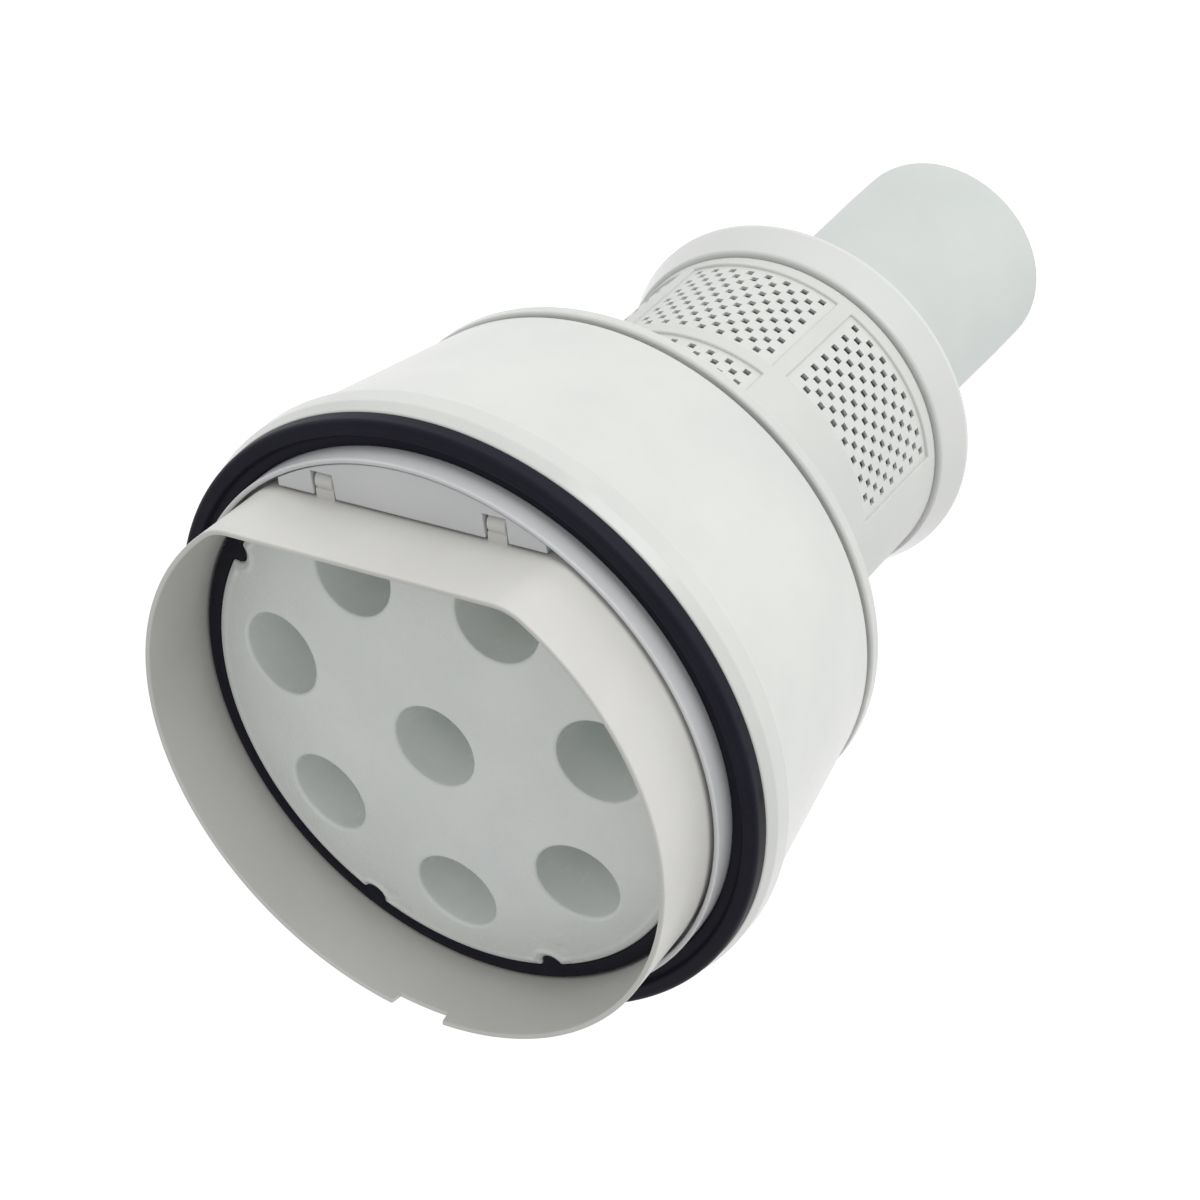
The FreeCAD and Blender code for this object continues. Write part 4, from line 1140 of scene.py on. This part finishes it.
@dataclass
class Hinge:
    """The block that carries the lift ring's pins, with a pocket for each eye."""

    dresser: Dresser
    half_width: float = 21.5
    back_radius: float = 42.2
    pocket_start: float = 12.0
    pocket_width: float = 3.6
    pocket_depth: float = 3.7
    edge_round: float = 0.15

    def build(self) -> None:
        """Builds the block as a prism over its plan, with rounded edges."""
        low, high = corners("hinge_block")
        front, foot, top = low[1], low[2], high[2]
        ends = math.acos(self.half_width / self.back_radius)
        arc = polar(self.back_radius, np.linspace(ends, math.pi - ends, 41))
        plan = [(-self.half_width, front)]
        for start in (-self.pocket_start - self.pocket_width, self.pocket_start):
            end, deep = start + self.pocket_width, front + self.pocket_depth
            plan += [(start, front), (start, deep), (end, deep), (end, front)]
        plan.append((self.half_width, front))
        loop = np.vstack([np.array(plan), arc])
        grid = stacked([(loop, foot), (loop, top)])
        skin = Skin()
        skin.add_grid(grid)
        numbers = np.arange(len(loop))[None, :]
        skin.add(grid[0], numbers[:, ::-1])
        skin.add(grid[1], numbers)
        piece = skin.build("hinge_block_moulding", sharp=30.0)
        add_bevel(piece, self.edge_round, 2)
        self.dresser.dress(piece, CARRIER, Body.HEAD, "hinge_block")


# ------------------------------------------------------------------------------------ lift ring


@dataclass
class LiftRing:
    """The thin flat-sided band that swings up from the head, with two eyes for its pins."""

    dresser: Dresser
    joints: Sequence[dict]
    shape: FlatSided = FlatSided(41.75, 34.6, 7.0)
    wall: float = 0.8
    flare: float = 0.45
    notch_angle: float = 265.5
    notch_width: float = 8.5
    notch_depth: float = 1.8
    notch_ramp: float = 0.35
    eye_radius: float = 1.5
    eye_bore: float = 0.8
    eye_width: float = 3.0
    eye_start: float = 12.3

    def notch_share(self, angles: np.ndarray) -> np.ndarray:
        """How far the free edge is cut down: one across the notch, with short steep ramps."""
        away = np.abs((angles - math.radians(self.notch_angle) + math.pi) % TURN - math.pi)
        arc = away * self.shape.radius
        share = np.clip((self.notch_width / 2.0 - arc) / self.notch_ramp + 0.5, 0.0, 1.0)
        return share**2 * (3.0 - 2.0 * share)

    def build(self) -> None:
        """Builds the band and the eyes."""
        low, high = corners("lift_ring")
        foot, top = low[2], high[2]
        half = self.notch_width / 2.0 / self.shape.radius
        ramp = np.linspace(-self.notch_ramp, self.notch_ramp, 9) / self.shape.radius
        middle = math.radians(self.notch_angle)
        angles = outline_angles(self.shape, 360, np.concatenate([middle - half + ramp, middle + half + ramp]))
        section = rounded([(-self.flare, top, 0.3), (0.0, foot, 0.2), (self.wall, foot, 0.2),
                           (self.wall - self.flare, top, 0.3)], step=22.0)[::-1]
        grid = swept(self.shape, section, angles)
        share = np.clip((grid[..., 2] - (foot + top) / 2.0) / ((top - foot) / 2.0 - 1.0), 0.0, 1.0)
        grid[..., 2] -= self.notch_depth * self.notch_share(angles)[None, :] * share
        skin = Skin()
        skin.add_grid(grid, wrap_rows=True)
        self.dresser.dress(skin.build("lift_ring_band"), RING, Body.RING, "lift_ring")
        self._build_eyes(foot)

    def _build_eyes(self, foot: float) -> None:
        """Builds the two eyes as short tubes along X, each on a small web to the band.

        Args:
            foot: Height of the band's lower edge.
        """
        hinge = next(joint for joint in self.joints if joint["name"] == "ring_hinge")
        across, height = hinge["pos_m"][1] / MM, hinge["pos_m"][2] / MM
        tube = rounded([(self.eye_bore, 0.0, 0.15), (self.eye_radius, 0.0, 0.3),
                        (self.eye_radius, self.eye_width, 0.3), (self.eye_bore, self.eye_width, 0.15)])
        skin = Skin()
        for start in (-self.eye_start - self.eye_width, self.eye_start):
            turned = lathe(tube, 40)[..., [2, 0, 1]]
            skin.add_grid(turned + (start, across, height), wrap_rows=True)
            back, front = self.shape.chord - self.wall * 0.5, across - self.eye_bore - 0.1
            side = rounded([(back, foot, 0.2), (front, foot, 0.2),
                            (front, height + self.eye_radius - 0.2, 0.3),
                            (back, height + self.eye_radius, 0.2)])
            loop = [np.column_stack([np.full(len(side), x), side]) for x in (start, start + self.eye_width)]
            grid = np.stack(loop)
            skin.add_grid(grid)
            numbers = np.arange(len(side))[None, :]
            skin.add(grid[0], numbers[:, ::-1])
            skin.add(grid[1], numbers)
        self.dresser.dress(skin.build("lift_ring_eyes"), RING, Body.RING)


# ------------------------------------------------------------------------------------ shroud


@dataclass
class Shroud:
    """The windowed mesh tube with its screens, the flange above it and the skirt below it."""

    dresser: Dresser
    radius: float = 27.6
    wall: float = 1.4
    groove_depth: float = 1.2
    foot_ring: float = 2.6
    foot_ring_height: float = 2.4
    boss_radius: float = 2.2
    boss_height: float = 6.4
    boss_circle: float = 22.15
    boss_angles: tuple[float, ...] = (57.5, 177.5, 297.5)
    first_window: float = 27.5
    window_pitch: float = 60.0
    window_span: float = 54.4
    upper_windows: tuple[int, ...] = (1, 2, 3)
    screen_thickness: float = 0.5
    hole_pitch: float = 1.56
    hole_size: float = 1.08
    ridge_radius: float = 42.2
    ridge_step: float = 0.6
    ridge_height: float = 1.7
    spigot_radius: float = 39.8
    spigot_wall: float = 1.4
    skirt_edge: float = 0.8
    skirt_top_radius: float = 28.3
    skirt_wall: float = 1.4
    floor_plate: float = 1.4

    def build(self) -> None:
        """Builds the frame, the screens, the flange and the skirt."""
        self._build_frame()
        for name, screen in self._screen_names():
            self._build_screen(name, screen)
        self._build_flange()
        self._build_skirt()

    def _screen_names(self) -> Iterator[tuple[str, float]]:
        """Name and middle direction of every screen, in degrees."""
        for index in range(5):
            yield "mesh_screen_lower_%d" % (index + 1), self.first_window + index * self.window_pitch
        for number, index in enumerate(self.upper_windows):
            yield "mesh_screen_upper_%d" % (number + 1), self.first_window + index * self.window_pitch

    def _build_frame(self) -> None:
        """Builds the windowed tube as a pierced sheet, with its foot ring and three bosses inside."""
        low, high = corners("shroud_frame")
        neck = self.radius - self.groove_depth
        tube_low = corners("skirt_ring")[1][2] + 0.5
        lower, upper = corners("mesh_screen_lower_1"), corners("mesh_screen_upper_1")
        half = self.window_span / 2.0
        borders = [self.first_window + index * self.window_pitch + side * half
                   for index in range(6) for side in (-1.0, 1.0)]
        even = np.arange(180) * 2.0 + 0.5
        away = np.abs((even[:, None] - np.array(borders) + 180.0) % 360.0 - 180.0).min(axis=1)
        degrees = np.sort(np.concatenate([np.array(borders) % 360.0, even[away > 0.6]]))
        heights = np.array([tube_low, tube_low + 0.6, lower[0][2], lower[0][2] + 6.0, lower[1][2] - 6.0,
                            lower[1][2], upper[0][2], upper[1][2], high[2] - 0.6, high[2] + 0.05])
        middle = degrees + ((np.roll(degrees, -1) - degrees) % 360.0) / 2.0
        level = (heights[:-1] + heights[1:]) / 2.0
        is_open = np.zeros((len(level), len(middle)), bool)
        for name, window in self._screen_names():
            box_low, box_high = corners(name)
            near = np.abs((middle - window + 180.0) % 360.0 - 180.0) < half
            within = (level > box_low[2]) & (level < box_high[2])
            is_open |= within[:, None] & near[None, :]
        skin = Skin()
        points, faces = pierced(np.radians(degrees), heights, is_open, self.radius,
                                self.radius - self.wall, True)
        skin.add(points, faces)
        piece = skin.build("shroud_frame_moulding", sharp=30.0)
        add_bevel(piece, 0.28, 2, 50.0)
        self.dresser.dress(piece, SHROUD, Body.SHROUD, "shroud_frame")
        foot = Skin()
        ring = rounded([(neck - self.foot_ring, low[2], 0.2), (neck, low[2], 0.1),
                        (neck, low[2] + self.foot_ring_height, 0.2),
                        (neck - self.foot_ring, low[2] + self.foot_ring_height, 0.3)])
        foot.add_grid(lathe(ring, 240), wrap_rows=True)
        boss = rounded([(0.9, low[2] + 0.02, 0.0), (self.boss_radius, low[2] + 0.02, 0.2),
                        (self.boss_radius, low[2] + self.boss_height, 0.3),
                        (0.9, low[2] + self.boss_height, 0.1)])
        for angle in np.radians(self.boss_angles):
            foot.add_grid(lathe(boss, 32) + (*polar(self.boss_circle, angle), 0.0), wrap_rows=True)
        self.dresser.dress(foot.build("shroud_foot_ring"), SHROUD, Body.SHROUD)

    def _build_screen(self, name: str, direction: float) -> None:
        """Builds one mesh screen: square holes in every other cell of a grid, row by row offset.

        Args:
            name: CAD node that it stands for.
            direction: Middle of its window, in degrees.
        """
        low, high = corners(name)
        middle = self.radius - self.wall / 2.0
        span = math.radians(self.window_span) * middle
        across, up = self._cells(span), self._cells(high[2] - low[2])
        angles = math.radians(direction) + (across - span / 2.0) / middle
        heights = low[2] + up
        column, level = np.arange(len(across) - 1), np.arange(len(up) - 1)
        hole_column, hole_level = column % 2 == 1, level % 2 == 1
        offset = (column[None, :] // 2 + level[:, None] // 2) % 2 == 0
        is_open = hole_level[:, None] & hole_column[None, :] & offset
        half = self.screen_thickness / 2.0
        skin = Skin()
        points, faces = pierced(angles, heights, is_open, middle + half, middle - half, False)
        skin.add(points, faces)
        self.dresser.dress(skin.build(name + "_pierced"), SCREEN, Body.SHROUD, name)

    def _cells(self, length: float) -> np.ndarray:
        """Cell borders along a length: a margin, then holes and bars by turns, then a margin.

        Args:
            length: The whole length.

        Returns:
            Borders from nought to the length.
        """
        count = int((length - 0.6) // self.hole_pitch)
        bar = self.hole_pitch - self.hole_size
        start = (length - count * self.hole_pitch + bar) / 2.0
        holes = start + np.arange(count) * self.hole_pitch
        return np.concatenate([[0.0], np.stack([holes, holes + self.hole_size], -1).ravel(), [length]])

    def _build_flange(self) -> None:
        """Builds the cone that widens to the ridge behind the head, with its spigot."""
        low, high = corners("rear_flange")
        foot, top = low[2], high[2]
        ridge_top = corners("head_shell")[0][2] - 0.7
        ridge_low = ridge_top - self.ridge_height
        inner = self.radius - self.wall
        section = rounded([
            (inner, foot, 0.0), (self.radius, foot, 1.2),
            (self.ridge_radius - self.ridge_step, ridge_low - self.ridge_step, 0.35),
            (self.ridge_radius, ridge_low, 0.3), (self.ridge_radius, ridge_top, 0.5),
            (self.spigot_radius, ridge_top, 0.1), (self.spigot_radius, top, 0.3),
            (self.spigot_radius - self.spigot_wall, top, 0.3),
            (self.spigot_radius - self.spigot_wall, ridge_low, 0.8), (inner, foot + self.wall, 0.4)],
            step=10.0)
        skin = Skin()
        skin.add_grid(lathe(section, 360), wrap_rows=True)
        self.dresser.dress(skin.build("rear_flange_moulding"), SHELL, Body.SHROUD, "rear_flange")

    def _build_skirt(self) -> None:
        """Builds the glossy flared skirt."""
        low, high = corners("skirt_ring")
        radius, foot, top = high[0], low[2], high[2]
        reach = self.radius - self.groove_depth
        section = rounded([
            (reach + 0.02, top - self.floor_plate, 0.1),
            (self.skirt_top_radius - self.skirt_wall * 0.5, top - self.floor_plate, 0.5),
            (radius - self.skirt_wall, foot + self.skirt_edge, 0.3), (radius - self.skirt_wall, foot, 0.3),
            (radius, foot, 0.35), (radius, foot + self.skirt_edge, 0.4),
            (self.skirt_top_radius, top, 0.55), (reach + 0.02, top, 0.1)], step=9.0)
        skin = Skin()
        skin.add_grid(lathe(section, 320), wrap_rows=True)
        self.dresser.dress(skin.build("skirt_ring_moulding"), SKIRT, Body.SHROUD, "skirt_ring")


@dataclass
class DustTube:
    """The fine-dust tube with its funnel, and the soft ring in its open end."""

    dresser: Dresser
    end_radius: float = 17.6
    top_radius: float = 16.8
    wall: float = 1.4
    seat_length: float = 8.0
    neck_share: float = 0.7
    funnel_wall: float = 1.4
    floor_plate: float = 1.4
    seal_width: float = 1.5

    def build(self) -> None:
        """Builds the tube and its end seal."""
        low, high = corners("dust_tube")
        plate_reach = high[0]
        skirt_low, skirt_top = corners("skirt_ring")[0][2], corners("skirt_ring")[1][2]
        gasket_low, gasket_high = corners("tip_gasket")
        funnel_inner = gasket_high[0] + 0.3
        funnel_outer, funnel_low = funnel_inner + self.funnel_wall, gasket_low[2] - 0.6
        tube_low = skirt_top + 0.5
        neck = tube_low + (corners("shroud_frame")[1][2] - tube_low) * self.neck_share
        inner_end, inner_top = self.end_radius - self.wall, self.top_radius - self.wall
        section = rounded([
            (inner_end, low[2], 0.3), (self.end_radius, low[2], 0.45),
            (self.end_radius, self.seat_length, 1.0), (self.top_radius, skirt_low, 0.0),
            (self.top_radius, skirt_top - self.floor_plate, 0.4),
            (plate_reach - 0.02, skirt_top - self.floor_plate, 0.2),
            (plate_reach - 0.02, skirt_top - 0.02, 0.2),
            (self.top_radius, skirt_top - 0.02, 0.3), (self.top_radius, neck, 0.8),
            (funnel_outer, funnel_low, 0.8), (funnel_outer, high[2], 0.3), (funnel_inner, high[2], 0.3),
            (funnel_inner, funnel_low, 0.8), (inner_top, neck, 0.8), (inner_top, skirt_low, 0.0),
            (inner_end, self.seat_length, 0.0)], step=12.0)
        skin = Skin()
        skin.add_grid(lathe(section, 256), wrap_rows=True)
        self.dresser.dress(skin.build("dust_tube_moulding"), TUBE, Body.SHROUD, "dust_tube")
        seal_low, seal_high = corners("tube_end_seal")
        foot, top = seal_low[2], seal_high[2]
        ring = rounded([(inner_end - self.seal_width, foot, 0.25), (inner_end - 0.01, foot, 0.1),
                        (inner_end - 0.01, top, 0.2), (inner_end - self.seal_width * 0.5, top, 0.3)])
        seal = Skin()
        seal.add_grid(lathe(ring, 200), wrap_rows=True)
        self.dresser.dress(seal.build("tube_end_seal_rubber"), GREY_RUBBER, Body.SHROUD, "tube_end_seal")


# ------------------------------------------------------------------------------------ studio


@dataclass
class Softbox:
    """A square or oblong area light aimed at the object."""

    name: str
    direction: float
    rise: float
    distance: float
    width: float
    height: float
    power: float
    colour: Colour = (1.0, 1.0, 1.0)

    def build(self, aim: Vector) -> None:
        """Places the light.

        Args:
            aim: Point that it looks at, in metres.
        """
        data = bpy.data.lights.new(self.name, "AREA")
        data.shape = "RECTANGLE"
        data.size, data.size_y = self.width, self.height
        data.energy = self.power
        data.color = self.colour
        lamp = bpy.data.objects.new(self.name, data)
        turn, lift = math.radians(self.direction), math.radians(self.rise)
        away = Vector((math.cos(turn) * math.cos(lift), math.sin(turn) * math.cos(lift), math.sin(lift)))
        lamp.location = aim + away * self.distance
        lamp.rotation_euler = (-away).to_track_quat("-Z", "Y").to_euler()
        bpy.context.scene.collection.objects.link(lamp)


@dataclass
class Studio:
    """Floor, world light, softboxes and camera."""

    azimuth: float = 138.0
    elevation: float = 42.38
    roll: float = -134.05
    distance: float = 0.43432
    aim_share: float = 0.6894
    aim_offset: tuple[float, float] = (0.00098, -0.00088)
    lens: float = 90.0
    floor_size: float = 8.0
    floor_gap: float = 0.0003
    floor_white: float = 0.9
    floor_roughness: float = 0.9
    floor_glow: float = 0.5
    world_strength: float = 0.6

    def build(self) -> None:
        """Builds everything that isn't part of the object."""
        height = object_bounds()[1].z
        aim = Vector((*self.aim_offset, height * self.aim_share))
        self._build_floor()
        self._build_world()
        Softbox("key_softbox", direction=54.0, rise=4.0, distance=0.75, width=0.45, height=0.28,
                power=1.35).build(aim)
        Softbox("top_softbox", direction=80.0, rise=55.0, distance=0.9, width=0.6, height=0.6,
                power=0.55).build(aim)
        self._build_camera(aim)
        bpy.context.scene.view_settings.view_transform = "Standard"

    def _build_floor(self) -> None:
        """Builds the pale floor just under the dust tube."""
        half = self.floor_size / 2.0
        mesh = bpy.data.meshes.new("floor")
        mesh.from_pydata([(-half, -half, -self.floor_gap), (half, -half, -self.floor_gap),
                          (half, half, -self.floor_gap), (-half, half, -self.floor_gap)], [], [(0, 1, 2, 3)])
        floor = bpy.data.objects.new("floor", mesh)
        bpy.context.scene.collection.objects.link(floor)
        material = bpy.data.materials.new("floor_paper")
        material.use_nodes = True
        shader = material.node_tree.nodes["Principled BSDF"]
        shader.inputs["Base Color"].default_value = (*(self.floor_white,) * 3, 1.0)
        shader.inputs["Roughness"].default_value = self.floor_roughness
        shader.inputs["Emission Color"].default_value = (1.0, 1.0, 1.0, 1.0)
        shader.inputs["Emission Strength"].default_value = self.floor_glow
        mesh.materials.append(material)
        floor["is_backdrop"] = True

    def _build_world(self) -> None:
        """Builds the even white light of the room."""
        world = bpy.data.worlds.new("soft_room")
        world.use_nodes = True
        background = world.node_tree.nodes["Background"]
        background.inputs["Color"].default_value = (1.0, 1.0, 1.0, 1.0)
        background.inputs["Strength"].default_value = self.world_strength
        bpy.context.scene.world = world

    def _build_camera(self, aim: Vector) -> None:
        """Places the camera by azimuth, elevation and roll round the aim point.

        Args:
            aim: Point in the middle of the view, in metres.
        """
        turn, lift, roll = (math.radians(value) for value in (self.azimuth, self.elevation, self.roll))
        back = Vector((math.sin(turn) * math.cos(lift), -math.cos(turn) * math.cos(lift), math.sin(lift)))
        level_right = Vector((math.cos(turn), math.sin(turn), 0.0))
        level_up = back.cross(level_right)
        right = level_right * math.cos(roll) + level_up * math.sin(roll)
        up = level_up * math.cos(roll) - level_right * math.sin(roll)
        data = bpy.data.cameras.new("camera")
        data.lens = self.lens
        data.sensor_width = 36.0
        data.clip_start, data.clip_end = 0.01, 50.0
        camera = bpy.data.objects.new("camera", data)
        placed = Matrix((right, up, back)).transposed().to_4x4()
        placed.translation = aim + back * self.distance
        camera.matrix_world = placed
        bpy.context.scene.collection.objects.link(camera)
        bpy.context.scene.camera = camera


def main() -> None:
    """Builds every sub-assembly in order, then the studio."""
    logging.basicConfig(level=logging.INFO, format="%(name)s: %(message)s")
    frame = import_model()
    dresser = Dresser(frame["nodes"])
    HeadShell(dresser).build()
    SealCarrier(dresser).build()
    OutletPlate(dresser).build()
    Hinge(dresser).build()
    LiftRing(dresser, frame["joints"]).build()
    Shroud(dresser).build()
    DustTube(dresser).build()
    for node, finish in CAD_FINISHES.items():
        dresser.dress_cad(node, finish)
    Studio().build()


if __name__ == "__main__":
    main()
